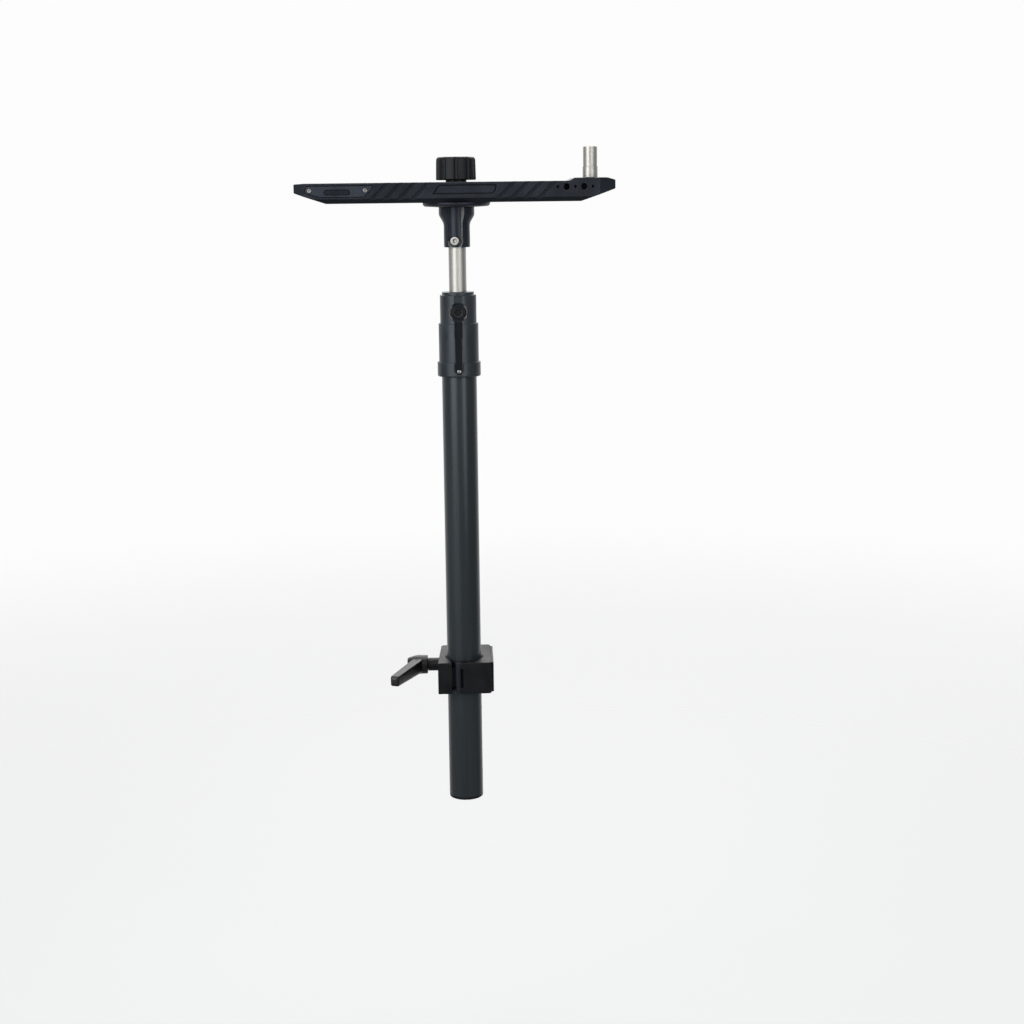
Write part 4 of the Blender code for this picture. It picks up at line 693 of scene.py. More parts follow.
# %% The socket's painted highlights and its screw
def on_recess_wall(c, n):
    """The sloping walls of the recess, painted lighter as a highlight."""
    turn = np.array(recess_axis)
    across, out = c @ turn[:, 0], c @ turn[:, 2]
    off = np.hypot(across, np.minimum(c[:, 2] - LOCK_Z, 0)) - recess_half(out)
    return (out > 5) & (np.hypot(across, out) > RECESS_FLOOR + 0.01) & (np.abs(off) < 0.04)


def on_highlit_wall(c, n):
    """The same walls on the right and round the foot, which get the brighter painted highlight."""
    return on_recess_wall(c, n) & ((c[:, 0] > 0) | (c[:, 2] < LOCK_Z + 3))


# Painted highlights: the recess walls lighter, and brighter metal on the right and round the foot.
painted(socket, plate_black, on_recess_wall)
painted(socket, painted_highlight_metal, on_highlit_wall)
stands_for(placed(socket, POLE), "receiver", cast_black)

lock = placed(socket_screw("lock_screw", 3.95, 2.6, 2.5, 1.7, 3.0, 2.0, 0.5), (0, 0, 9.95 * MM))
stands_for(placed(lock, POLE + [0, 0, LOCK_Z * MM], recess_axis), "receiver_screw", screw_steel)

# %% [markdown]
# ## The swivel disc
# A shallow bowl, bolted to the flange. Its flat top carries a nylon ring on which the bar turns.
# The engineering model leaves a narrow gap between the seats, so that its parts are free to turn.
# A real bar rests on its seat, so rim and ring rise a quarter of a millimetre to meet it.

# %% Disc, ring and stud
DISC_R, SEAT_GAP = 30.5, 0.25
disc_low, disc_high = (corner[2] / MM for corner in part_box("swivel_disc"))
rim, groove = disc_high + SEAT_GAP, disc_high - 1.3
u = np.linspace(0, math.pi / 2, 9)
bowl = np.column_stack([DISC_R - 2.8 * (1 - np.sin(u)), disc_high - 0.6 - 2.72 * np.cos(u)])
disc_profile = np.vstack([
    [[STUD_BORE, disc_low], [16.35, disc_low]], bowl,
    [[DISC_R, rim], [28.0, rim], [28.0, groove], [20.0, groove], [20.0, disc_high], [STUD_BORE, disc_high]],
])
disc_reach = np.concatenate([[0.2, 0.3], np.zeros(len(bowl)), [0.25, 0.1, 0.05, 0.05, 0.1, 0.2]])
disc = turned("bar_seat", disc_profile, disc_reach, around=192, ring=True)
stands_for(placed(disc, POLE), "swivel_disc", bar_black)

ring_low, ring_high = (corner[2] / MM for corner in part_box("friction_ring"))
slip_ring = pipe("slip_ring", 20.3, 27.7, ring_low, ring_high + SEAT_GAP, 0.1, 144)
stands_for(placed(slip_ring, POLE), "friction_ring", nylon_black)

stud_low, stud_high = (corner[2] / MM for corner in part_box("arm_stud"))
thread = thread_line(5.0, 0.6, stud_low, stud_high, int((stud_high - stud_low) / 1.5), cut_first=1)
stud = turned("knob_stud", np.vstack([[[0, stud_low]], thread, [[0, stud_high]]]), 0, around=64)
stands_for(placed(stud, POLE), "arm_stud", screw_steel)

# %% [markdown]
# ## The docking bar
# The bar is milled from a thick flat. Its section is a box with both lower edges cut back. Along
# its length the section changes: the underside ramps up at both ends, the corners narrow in plan,
# and a pad stands up under the bright stud. So the blank is one grid: stations along x, and the
# rounded section round each of them.

# %% The bar's blank
LEFT, RIGHT, HALF, THICK, LOWER = -144.7, 142.5, 31.0, 18.0, 4.0
NOSE_LEFT, RAMP_LEFT, RAMP_RIGHT, NOSE_RIGHT = LEFT + 10.3, LEFT + 29, RIGHT - 31.2, RIGHT - 14.7
PAD_FOOT, PAD_TOP, PAD_END, PAD_RISE = 100.1, 105.5, 134.9, 2.6
NOSE_HALF = HALF - 10
edge = 0.5
breaks = np.array([NOSE_LEFT, RAMP_LEFT, PAD_FOOT, PAD_TOP, RAMP_RIGHT, NOSE_RIGHT, PAD_END])
ends = [LEFT, LEFT + 0.15, LEFT + edge, RIGHT - edge, RIGHT - 0.15, RIGHT]
span = np.linspace(LEFT + edge, RIGHT - edge, 40)
x = np.unique(np.concatenate([ends, breaks - 0.3, breaks, breaks + 0.3, span]))
inset = np.interp(x, ends, [edge, edge * 0.4, 0, 0, edge * 0.4, edge])
wide = np.interp(x, [LEFT, NOSE_LEFT, NOSE_RIGHT, RIGHT], [NOSE_HALF, HALF, HALF, NOSE_HALF]) - inset
under = np.interp(x, [LEFT, RAMP_LEFT, RAMP_RIGHT, RIGHT], [THICK - 8.4, 0, 0, THICK - 7.3]) + inset
upper = np.interp(
    x, [LEFT, NOSE_LEFT, PAD_FOOT, PAD_TOP, PAD_END, RIGHT],
    [THICK - 0.6, THICK, THICK, THICK + PAD_RISE, THICK + PAD_RISE, THICK + 0.5],
) - inset
cut_back = np.maximum(LOWER - under, 0.35)
section = np.stack([
    np.stack([-wide, upper], -1), np.stack([-wide, under + cut_back], -1),
    np.stack([-wide + cut_back, under], -1), np.stack([wide - cut_back, under], -1),
    np.stack([wide, under + cut_back], -1), np.stack([wide, upper], -1),
], axis=1)
loop = rounded(section * MM, np.array([0.8, 0.2, 0.2, 0.2, 0.2, 0.8]) * MM, steps=4, ease=0.1 * MM)
blank = np.concatenate([np.broadcast_to(x[:, None, None] * MM, loop.shape[:2] + (1,)), loop], axis=-1)
bar_blank = skin("parking_bar", blank)
print("bar blank:", len(x), "stations")

# %% [markdown]
# ## What is milled into the bar
# Both long faces carry the same pattern: slanting grooves, a long panel, and a row of plain and
# tapped holes. Left of the knob the front also has a pocket for a plate. The fork on the left is
# where the stabilizer's post drops in. The floors of the grooves and both bevels under the bar are
# painted a little darker as shade, and the floors of the line round the panel and of the plate's pocket
# darker still.

# %% The bar's cuts
def face_tool(outline, side, depth):
    """A pocket of this depth in the front (side -1) or the rear (side 1) face, outline in millimetres."""
    near, far = side * (HALF + 1) * MM, side * (HALF - depth) * MM
    return front_tool(np.asarray(outline) * MM, min(near, far), max(near, far))


def trench(outline, side, width, depth, corner):
    """A pocket with an island left in it, which reads as a line cut round the outline."""
    outer = rounded(outline, corner, ease=0)
    island = rounded(drawn_in(outline, width), np.maximum(np.array(corner) - width, 0.2), ease=0)
    return carved(face_tool(outer, side, depth), face_tool(island, side, depth + 2))


GROOVE_WIDE, GROOVE_DEEP, GROOVE_STEP = 5.0, 1.2, 12.1
LINE, PANEL_DEEP, POCKET_DEEP = 1.3, 0.35, 2.0
HOLE_X, HOLE_STEP, HOLE_Z = 90.3, 7.8, THICK - 5.2
foot, top = LOWER - 1.6, THICK + 1
groove_lefts = [-26.1 - GROOVE_STEP * i for i in range(4)] + [50.0 + GROOVE_STEP * i for i in range(4)]
panel = np.array([(-21.5, 7.1), (33.5, 7.1), (37.5, 15.8), (-15.4, 15.8)])
panel_corner = [0.9, 3.2, 4.0, 0.9]
tools = []
for side in (-1, 1):
    for left in groove_lefts:
        low_x, high_x = left - (THICK + 0.3 - foot), left - (THICK + 0.3 - top)
        groove = [(low_x, foot), (low_x + GROOVE_WIDE, foot), (high_x + GROOVE_WIDE, top), (high_x, top)]
        tools.append(face_tool(groove, side, GROOVE_DEEP))
    tools.append(trench(panel, side, LINE, LINE, panel_corner))
    tools.append(face_tool(rounded(panel, panel_corner, ease=0), side, PANEL_DEEP))
    for i in range(5):
        plain = [(0, -5.4), (1.4, -5), (1.4, 2), (0, 2)]
        drill = threaded_tool(3.0, 12, 1.27) if i % 2 else turned("tool", plain, 0, 32)
        at = np.array([HOLE_X + HOLE_STEP * i, side * HALF, HOLE_Z]) * MM
        tools.append(placed(drill, at, "front" if side < 0 else "rear"))

PLATE = np.array([(-134.1, 10.2), (-121.1, 6.0), (-81.6, 6.0), (-74.6, 13.2), (-74.6, 15.2), (-132.1, 15.2)])
PLATE_SCREWS, PLATE_SCREW_Z = {"left": -130.0, "right": -80.6}, THICK - 6.5
tools.append(face_tool(rounded(drawn_in(PLATE, -0.7), 0.5, ease=0), -1, POCKET_DEEP))
for screw_x in PLATE_SCREWS.values():
    tools.append(placed(rod(1.4, 22, 32, 24), np.array([screw_x, 0, PLATE_SCREW_Z]) * MM, "front"))

FORK_R, FORK_DEEP, STUD_X = 16, 36, 121.3
mouth = np.array([(-5, 25.0), (0, 20.0), (4, FORK_R)])
fork = np.vstack([
    [LEFT, 0] + mouth * [1, -1],
    arc((LEFT + FORK_DEEP, 0), FORK_R, -math.pi / 2, math.pi / 2, 49),
    [LEFT, 0] + mouth[::-1],
]) * MM
tools.append(slab("tool", fork, -5 * MM, 30 * MM, edge=0))
tools.append(rod(STUD_BORE, -2, 25, 96))
tools.append(placed(rod(4.3, 6, 25), (STUD_X * MM, 0, 0)))
carved(bar_blank, *tools)


# %% The bar's painted shade
def on_groove_or_bevel(c, n):
    """The floors of the grooves, and both long bevels under the bar, painted a little darker as shade."""
    groove = (np.abs(n[:, 1]) > 0.99) & (np.abs(HALF - np.abs(c[:, 1]) - GROOVE_DEEP) < 0.04)
    return groove | (n[:, 2] < -0.6) & (n[:, 2] > -0.8) & (np.abs(n[:, 1]) > 0.6)


def on_line_or_pocket(c, n):
    """The floors of the line round the panel and of the plate's pocket, painted darker as shade."""
    deep = HALF - np.abs(c[:, 1])
    floor = (deep > LINE - 0.05) & (deep < POCKET_DEEP + 0.1)
    return (np.abs(n[:, 1]) > 0.99) & floor & (c[:, 2] < THICK - 1)


# Painted shade in the grooves, on the bevels under the bar, and darker still in the line and the pocket.
painted(bar_blank, soft_shade_and_slot_black, on_groove_or_bevel)
painted(bar_blank, deep_shade_and_slot_black, on_line_or_pocket)
stands_for(placed(bar_blank, POLE + [0, 0, ARM_Z]), "docking_arm", bar_black)

# %% [markdown]
# ## The plate on the bar
# A thin bare plate let into the front face, with a shallow blank slot and two bright screws. It is
# drawn flat, where its outline is easy to give, and stood up at the end.

# %% Plate and its screws
def on_bar(piece):
    """From (x, z) drawn flat and raised along z to a plate that faces the front of the bar."""
    return placed(placed(piece, (0, 0, 0), "front"), POLE + [0, 0, ARM_Z])


def slot_outline(radius):
    """Two half circles of this radius, 18.4 mm apart."""
    left = arc((-114.6, 9.9), radius, math.pi / 2, math.pi * 1.5, 17)
    return np.vstack([left, arc((-96.2, 9.9), radius, -math.pi / 2, math.pi / 2, 17)]) * MM


def facing_at(level):
    """Picks the faces that look out of the plate at this height."""
    return lambda c, n: (n[:, 2] > 0.9) & (np.abs(c[:, 2] - level) < 0.05)


PLATE_BACK, PLATE_FACE, SLOT_FLOOR, ISLAND = 29.3, 30.9, 30.2, 30.7
outline = rounded(PLATE * MM, 0.4 * MM, ease=0)
plate = slab("name_plate", outline, PLATE_BACK * MM, PLATE_FACE * MM, edge=0.15 * MM)
slot = slab("tool", slot_outline(2.6), SLOT_FLOOR * MM, 33 * MM, edge=0)
carved(slot, slab("tool", slot_outline(1.9), 29.9 * MM, ISLAND * MM, edge=0))
plate_tools = [slot]
for screw_x in PLATE_SCREWS.values():
    hole = [(0, 28), (1.4, 28), (1.4, 30.1), (2.2, 30.1), (2.2, 33), (0, 33)]
    plate_tools.append(placed(turned("tool", hole, 0, 40), np.array([screw_x, PLATE_SCREW_Z, 0]) * MM))
carved(plate, *plate_tools)
painted(plate, deep_shade_and_slot_black, facing_at(SLOT_FLOOR))
painted(plate, soft_shade_and_slot_black, facing_at(ISLAND))
stands_for(on_bar(plate), "badge_plate", plate_black)
for name, screw_x in PLATE_SCREWS.items():
    made = socket_screw(f"plate_{name}_screw", 1.9, 1.2, 1.1, 6.0, 1.5, 0.7, 0.5)
    placed(made, np.array([screw_x, PLATE_SCREW_Z, 30.4]) * MM)
    stands_for(on_bar(made), f"badge_screw_{name}", screw_steel)

# %% [markdown]
# ## The balance stud
# A half-inch stainless pin, screwed into the raised pad. It is a little thicker at its foot. One
# turned profile gives both diameters and the small cone between them.

# %% Balance stud
body = [(0, -12), (4, -12), (4, 0), (6.75, 0), (6.75, 9.6), (6.35, 10), (6.35, 27.5), (0, 27.5)]
stud = turned("balance_pin", body, [0, 0.8, 0.1, 0.3, 0.2, 0.2, 0.8, 0], around=160)
stud_foot = THICK + PAD_RISE + 0.3
stands_for(placed(stud, POLE + [STUD_X * MM, 0, ARM_Z + stud_foot * MM]), "balance_stud", turned_steel)

# %% [markdown]
# ## The knob
# A moulded knob with ten flutes. Its radius is a function of angle and height: a round body with a
# narrow dip at each flute, and both rims rolled over. The dip fades out as the top rolls over, as
# it does on a moulding. Ten cuts would leave hard edges there, and the function leaves none.

# %% Knob
knob_low, knob_high = (corner[2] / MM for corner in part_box("clamp_knob"))
KNOB_R, FLUTES, DIP, DIP_WIDE = 18.1, 10, 1.3, 0.30
LOWER_ROLL, UPPER_ROLL, DRAFT = 1.2, 3, 0.4


def knob_row(height, shrink, fade, count=480):
    """r(t) = R - shrink - fade D max(0, 1 - (p / w)^2)^0.75, p being 0 at a flute and 1 between two."""
    t = np.linspace(0, math.tau, count, endpoint=False)
    p = np.abs((t / math.tau * FLUTES + 0.5) % 1 - 0.5) * 2
    dip = np.maximum(0, 1 - (p / DIP_WIDE) ** 2) ** 0.75
    r = (KNOB_R - shrink - fade * DIP * dip) * MM
    t = t - math.pi / 2
    return np.stack([r * np.cos(t), r * np.sin(t), np.full(count, height * MM)], -1)


knob_rows = []
for a in np.linspace(math.pi / 2, 0, 7):
    rise, shrink = LOWER_ROLL * (1 - math.sin(a)), LOWER_ROLL * (1 - math.cos(a))
    knob_rows.append(knob_row(knob_low + rise, shrink, 1))
knob_rows.append(knob_row(knob_high - 6, 0.3, 1))
for a in np.linspace(0, math.pi / 2, 9):
    drop, shrink = UPPER_ROLL * (1 - math.sin(a)), DRAFT + UPPER_ROLL * (1 - math.cos(a))
    knob_rows.append(knob_row(knob_high - drop, shrink, math.cos(a) ** 0.5))
for shrink, drop in ((3.7, 0.02), (6.2, 0.05), (6.5, 0.35), (7.0, 0.45), (12.0, 0.45)):
    knob_rows.append(knob_row(knob_high - drop, shrink, 0))
knob = skin("fluted_knob", np.stack(knob_rows))
carved(knob, placed(rod(8.0, -2, 15.3, 96), (0, 0, knob_low * MM)))
stands_for(placed(knob, POLE), "clamp_knob", knob_black)

# %% The knob's washer and insert
washer_low, washer_high = (corner[2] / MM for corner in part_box("knob_washer"))
shim = pipe("knob_shim", STUD_BORE, 9.5, washer_low - 0.27, washer_high + 0.27)
stands_for(placed(shim, POLE), "knob_washer", oxide_black)
insert = pipe("knob_bush", STUD_BORE, 7.7, knob_low, knob_low + 15, around=64)
stands_for(placed(insert, POLE), "knob_insert", brass)

# %% [markdown]
# ## The hinged clamp
# Two milled halves round a thin liner. The left half swings on a pin in the mouth, where its middle
# knuckle sits between two knuckles of the right half. Outlines in plan follow the real cuts: the
# bore, the saw slit behind the pole, and the mouth with its hinge. A block raised from its plan is
# the same work as sawing it off a long bar, which is how such a clamp is made.

# %% Plan of the two halves
BORE, CLAMP_LEFT, CLAMP_RIGHT, FRONT, REAR = 17.6, 24.7, 25.4, 24.7, 43.0
HINGE = np.array([-5.6, -21.6])
HINGE_AT = (*(HINGE * MM), 0)
SLIT, MOUTH, TALL = 2.2, 11.8, 15.0
KNUCKLE_R, SPAN, FREE = 2.9, 9.05, 0.3
LEVER_Y, MOUNT_Y, MOUNT_Z = 28.5, 9.2, (-9, 9)
PLATE_YS = (-FRONT + 9.8, REAR - 9.8)
OUTER_R, JAW_R = 3.3, 0.8

right_x = HINGE[0] + SLIT / 2
turn = math.acos(right_x / BORE)
right_plan = np.vstack([
    [[right_x, -FRONT]],
    arc((CLAMP_RIGHT - OUTER_R, -FRONT + OUTER_R), OUTER_R, -math.pi / 2, 0, 13),
    arc((CLAMP_RIGHT - OUTER_R, REAR - OUTER_R), OUTER_R, 0, math.pi / 2, 13),
    [[right_x, REAR]],
    arc((0, 0), BORE, turn, -turn, 97),
])
left_x = HINGE[0] - SLIT / 2
rear_turn, mouth_turn = math.acos(left_x / BORE), math.tau - math.acos(-MOUTH / BORE)
left_plan = np.vstack([
    [[-MOUTH, -FRONT]],
    arc((-CLAMP_LEFT + JAW_R, -FRONT + JAW_R), JAW_R, -math.pi / 2, -math.pi, 7),
    arc((-CLAMP_LEFT + 6.6, REAR - 4), 4, math.pi, math.pi / 2, 11),
    [[left_x, REAR]],
    arc((0, 0), BORE, rear_turn, mouth_turn, 65),
])


def united(piece, *others):
    """Welds further solids onto the piece."""
    return combined(piece, "UNION", others)


def knuckle(low, high):
    """A short barrel on the hinge's axis."""
    barrel = [(0, low), (KNUCKLE_R, low), (KNUCKLE_R, high), (0, high)]
    return placed(turned("knuckle", barrel, [0, 0.25, 0.25, 0], 64), HINGE_AT)


def on_barrel(c, n):
    """The round faces of the knuckles, painted lighter as a highlight."""
    out = c[:, :2] - HINGE
    far = np.linalg.norm(out, axis=1)
    return (np.abs(far - KNUCKLE_R) < 0.1) & ((n[:, :2] * out).sum(1) > 0.9 * far)


def upright_box(low, high):
    """A box between two corners, in millimetres."""
    (x0, y0, z0), (x1, y1, z1) = low, high
    return slab("tool", np.array([(x0, y0), (x1, y0), (x1, y1), (x0, y1)]) * MM, z0 * MM, z1 * MM, edge=0)


def drill_x(radius, low, high, y, z=0.0, around=64):
    """A drill along x between two positions, at y and z, in millimetres."""
    return placed(rod(radius, low, high, around), (0, y * MM, z * MM), "right")


print("right half:", len(right_plan), "points in plan; left half:", len(left_plan))

# %% The right half
EDGE = 0.8
clamp = slab("clamp_block", right_plan * MM, -TALL * MM, TALL * MM, edge=EDGE * MM)
united(clamp, knuckle(SPAN, TALL - 0.02), knuckle(-TALL + 0.02, -SPAN))
room_x, room_y = HINGE + KNUCKLE_R + FREE
cuts = [
    upright_box((HINGE[0] - 4, -FRONT - 1, -SPAN), (room_x, room_y, SPAN)),
    upright_box((room_x - 0.3, -FRONT - 1, -SPAN), (HINGE[0] + 4.9, -FRONT + 4.5, SPAN)),
    placed(rod(1.5, -20, 20, 32), HINGE_AT),
    drill_x(4.3, -6, 12.3, LEVER_Y),
]
cuts += [drill_x(2.0, CLAMP_RIGHT - 6.3, 30, y, around=32) for y in PLATE_YS]
for z in MOUNT_Z:
    cuts.append(placed(threaded_tool(3.0, 7.5, 1.0), np.array([CLAMP_RIGHT, MOUNT_Y, z]) * MM, "right"))
carved(clamp, *cuts)
# A painted highlight: the knuckles get a lighter black.
painted(clamp, bar_black, on_barrel)
stands_for(placed(clamp, POLE), "clamp_body", clamp_black)

# %% [markdown]
# ## The half that swings
# A finger reaches from the left half into the mouth and ends in the middle knuckle. It is made as
# a solid of its own and welded on, because the finger is lower than the block. Its face lies deep
# in the mouth, where little light comes, and is painted darker as shade; the round knuckle in front of it
# gets a painted highlight.

# %% The left half
jaw = slab("clamp_leaf", left_plan * MM, -TALL * MM, TALL * MM, edge=EDGE * MM)
span = SPAN - FREE
tip_x, finger_y = HINGE[0] - 0.7, -FRONT + 4.2
tip_turn = math.acos(tip_x / BORE)
finger = np.vstack([
    [[-MOUTH - 1.4, finger_y], [tip_x, finger_y]],
    arc((0, 0), BORE, -tip_turn, mouth_turn - math.tau, 17),
    [[-MOUTH - 1.4, BORE * math.sin(mouth_turn)]],
])
united(jaw, slab("finger", finger * MM, -span * MM, span * MM, edge=0), knuckle(-span, span))
NECK_X = -22.42
carved(
    jaw,
    placed(rod(1.5, -20, 20, 32), HINGE_AT),
    drill_x(4.9, -30, 0, LEVER_Y),
    drill_x(7.1, -30, NECK_X, LEVER_Y),
)
# A painted highlight: the knuckle gets a lighter black.
painted(jaw, bar_black, on_barrel)
# Painted shade on the finger's face, deep in the mouth.
painted(jaw, deep_shade_and_slot_black, lambda c, n: (n[:, 1] < -0.9) & (np.abs(c[:, 1] - finger_y) < 0.1))
stands_for(placed(jaw, POLE), "clamp_jaw", clamp_black)

# %% [markdown]
# ## The hinge's pin and the liners
# The liners are two dark crescents that keep the clamp from scratching the tube. In plan each is a
# strip between two arcs, so the same slab makes them.

# %% Pin and liners
hinge_pin = turned("hinge_wire", [(0, -14.7), (1.2, -14.7), (1.2, 14.7), (0, 14.7)], [0, 0.3, 0.3, 0], 48)
stands_for(placed(hinge_pin, POLE + HINGE_AT), "hinge_pin", screw_steel)

LINER_IN, LINER_OUT = 16.3, 17.3


def liner(name, node, start, end):
    """A strip between two arcs round the tube."""
    plan = [arc((0, 0), LINER_OUT, start, end, 49), arc((0, 0), LINER_IN, end, start, 49)]
    strip = slab(name, np.vstack(plan) * MM, -TALL * MM, TALL * MM, edge=0.12 * MM)
    return stands_for(placed(strip, POLE), node, nylon_black)


body_turn = math.acos(-3.4 / BORE) - 0.16
liner("block_liner", "body_liner", -body_turn, body_turn)
liner("leaf_liner", "jaw_liner", math.acos((HINGE[0] - SLIT) / BORE) + 0.06, mouth_turn)

# %% [markdown]
# ## The mounting plate
# A steel plate between the clamp and whatever carries it, with two sunk screws and two clear holes.
# It is drawn flat, cut, and turned on its side.

# %% Plate and screws
(_, y0, z0), (plate_x, y1, z1) = (np.array(corner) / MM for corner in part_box("back_plate"))
face = rounded(np.array([(y0, z0), (y1, z0), (y1, z1), (y0, z1)]) * MM, 1.5 * MM, ease=0)
back = slab("mount_plate", face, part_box("clamp_body")[1][0], plate_x * MM, edge=0.2 * MM)
placed(back, (0, 0, 0), Matrix(((0, 0, 1), (1, 0, 0), (0, 1, 0))))
sunk = [(0, -4), (2.0, -4), (2.0, -1.7), (3.5, -0.3), (3.5, 1), (0, 1)]
cuts = [placed(turned("tool", sunk, 0, 64), (0, y * MM, 0), "right") for y in PLATE_YS]
cuts += [drill_x(3.3, -4, 2, MOUNT_Y, z) for z in MOUNT_Z]
carved(back, *cuts)
stands_for(back, "back_plate", oxide_black)
for name, y in zip(("front", "rear"), PLATE_YS):
    made = flat_screw(f"sunk_{name}_screw", 3.2, 1.4, 1.7, 6.0, 2.0)
    stands_for(placed(made, (-0.3 * MM, y * MM, 0), "right"), f"plate_screw_{name}", oxide_black)

# %% [markdown]
# ## The indexing lever
# The handle is cast, so hub and arm flow into each other. Two simple solids, a turned hub and an
# arm whose section is a superellipse, are joined by remeshing them as one volume and smoothing it,
# which leaves the fillet of a casting. A Boolean alone would leave a sharp line between the two.

# %% Hub and arm
HUB_X, HUB_R, HUB_FOOT, STRAIGHT, DOME = -35.12, 9.15, 8.9, 10.8, 8.8
HUB_END = STRAIGHT + DOME
hub_profile = [(0, 0), (HUB_FOOT, 0), (HUB_R, STRAIGHT), (6.9, HUB_END - 1.2), (5.6, HUB_END), (0, HUB_END)]


def on_hub(tool):
    """Turns a tool or a blank from its own axis to the hub's."""
    return placed(tool, (HUB_X * MM, 0, 0), "left")


hub = on_hub(turned("hub", hub_profile, [0, 0.6, 2.0, 0.6, 0.4, 0], 128))

TIP_R, CLOSING = 3.5, 0.045
root = np.array([HUB_X - STRAIGHT * 0.75, 0.0, 0.0])
reach = np.array([-21.3, -60.0 + TIP_R, 0])
along = reach / np.linalg.norm(reach)
across = np.cross(along, [0, 0, 1])
rounding = 1 - CLOSING + CLOSING * np.sin(np.linspace(0, math.pi / 2, 14))
s = np.concatenate([np.linspace(0, 1 - CLOSING, 40), rounding[1:]])
close = np.sqrt(np.maximum(0, 1 - (np.maximum(s - 1 + CLOSING, 0) / CLOSING) ** 2)) * 0.6 + 0.4
half_wide = np.interp(s, [0, 1], [5.4, 4.1]) * close
half_tall = np.interp(s, [0, 1], [6.8, 4.9]) * close
print("handle's arm:", len(s), "sections,", round(np.linalg.norm(reach) + TIP_R, 1), "mm long")


def superellipse(power, count=96):
    """(cos t, sin t), each with its size raised to 2 / n and its sign kept."""
    t = np.linspace(0, math.tau, count, endpoint=False)
    turn = np.stack([np.cos(t), np.sin(t)])
    return np.sign(turn) * np.abs(turn) ** (2 / power)


# P(s, t) = root + L s a + w(s) x(t) b + h(s) z(t) k, with a along the arm, b across it and k upright.
cx, cz = superellipse(6.5)
grid = (root + along * (s * (np.linalg.norm(reach) + TIP_R))[:, None])[:, None, :]
grid = grid + (half_wide[:, None] * cx)[..., None] * across
grid = grid + (half_tall[:, None] * cz)[..., None] * np.array([0, 0, 1.0])
arm = skin("arm", grid * MM)

# %% One casting
handle = united(hub, arm)
handle.name = handle.data.name = "lever_casting"
remesh = handle.modifiers.new("one_volume", "REMESH")
remesh.mode = "VOXEL"
remesh.voxel_size = 0.35 * MM
smooth = handle.modifiers.new("fillet", "SMOOTH")
smooth.factor = 0.5
smooth.iterations = 5
carved(
    handle,
    on_hub(rod(5.3, -1, 5.1, 12)),
    on_hub(rod(2.5, 4, 8, 48)),
    on_hub(rod(4.6, 6.9, 22, 96)),
)
LEVER = POLE + [0, LEVER_Y * MM, 0]
stands_for(placed(handle, LEVER), "lever_handle", lever_black)

# %% [markdown]
# ## What sits inside the lever
# A splined stud carries the handle, a washer lies against the clamp, and a screw holds a spring
# that pulls the handle down on its spline. When the handle is lifted to turn it freely, the spring gets
# shorter.

# %% Stud, washer and screw
SHIM = 1.2
stud_high = (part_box("lever_stud")[1][0] - POLE[0]) / MM
neck_x = NECK_X - FREE - SHIM - FREE


def on_neck(piece):
    """Turns a piece from its own axis to the lever's, with z = 0 at the stud's neck."""
    return placed(piece, (neck_x * MM, 0, 0), "left")


thread = thread_line(4.0, 0.45, neck_x - stud_high, -1.5, int((stud_high - neck_x - 2) / 1.25), cut_first=1)
shaft = np.vstack([[[0, thread[0, 1]]], thread, [[6.2, 0], [6.2, 10.6], [0, 10.6]]])
reach = np.zeros(len(shaft))
reach[-3:-1] = 0.4
stud = on_neck(turned("lever_shaft_piece", shaft, reach))
united(stud, on_neck(turned("spline", [(0, 10), (5, 10), (5, 15.4), (0, 15.4)], [0, 0, 0.3, 0], around=12)))
carved(stud, on_neck(rod(2.5, 5.7, 20, 48)))
stands_for(placed(stud, LEVER), "lever_stud", neck_black)

shim = pipe("lever_shim", 4.9, 6.2, 0, SHIM)
stands_for(placed(shim, LEVER + [(NECK_X - FREE) * MM, 0, 0], "left"), "lever_washer", oxide_black)

head_x = HUB_X - HUB_END + 3.0
keeper = socket_screw("spring_keeper", 4.1, 1.8, 2.2, neck_x - head_x - 6.0, 2.5, 1.1)
stands_for(placed(keeper, LEVER + [head_x * MM, 0, 0], "left"), "lever_screw", oxide_black)


# %% Spring
def coil(name, low, high, radius, wire, turns, count=240):
    """Centre (x(s), r cos 2 pi n s, r sin 2 pi n s); a circle of the wire's radius round each point."""
    s = np.linspace(0, 1, count)
    a = math.tau * turns * s
    centre = np.stack([low + (high - low) * s, radius * np.cos(a), radius * np.sin(a)], -1)
    out = np.stack([0 * s, np.cos(a), np.sin(a)], -1)
    ahead = np.gradient(centre, axis=0)
    ahead /= np.linalg.norm(ahead, axis=1, keepdims=True)
    side = np.cross(ahead, out)
    t = np.linspace(0, math.tau, 20, endpoint=False)[:, None, None]
    ring = centre + wire * (np.cos(t) * out + np.sin(t) * side)
    return skin(name, np.swapaxes(ring, 0, 1) * MM)


WIRE_R, WIRE_ROOM, LIFT = 0.4, 0.45, 5.0
spring_low, spring_high = (corner[0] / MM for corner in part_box("lever_spring"))
pole_x = POLE[0] / MM
spring = coil(
    "lift_spring", spring_low - pole_x + WIRE_ROOM, spring_high - pole_x - WIRE_ROOM, 3.5, WIRE_R, 3,
)
placed(spring, LEVER)
stands_for(spring, "lever_spring", spring_wire)
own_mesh(spring)

# %% [markdown]
# ## Hidden screws
# The three screws in the disc lie under the bar. They keep the engineering shape, because nobody
# sees them, and only need a finish.

# %% Kept nodes
for node in frame["nodes"]:
    if node.startswith("disc_screw"):
        shown = frame["nodes"][node]
        shown.data.materials.clear()
        shown.data.materials.append(oxide_black)

# %% [markdown]
# ## Floor
# The stand hangs from its clamp, so the floor lies below the lowest place that the pole can slide
# to. It is like a thin white film over the white backdrop: it takes a soft shadow near the stand,
# and fades out with distance, so that no horizon shows. Only the camera sees it bright. To all
# other rays it is a mid grey, so that it doesn't throw pale light up on black metal.

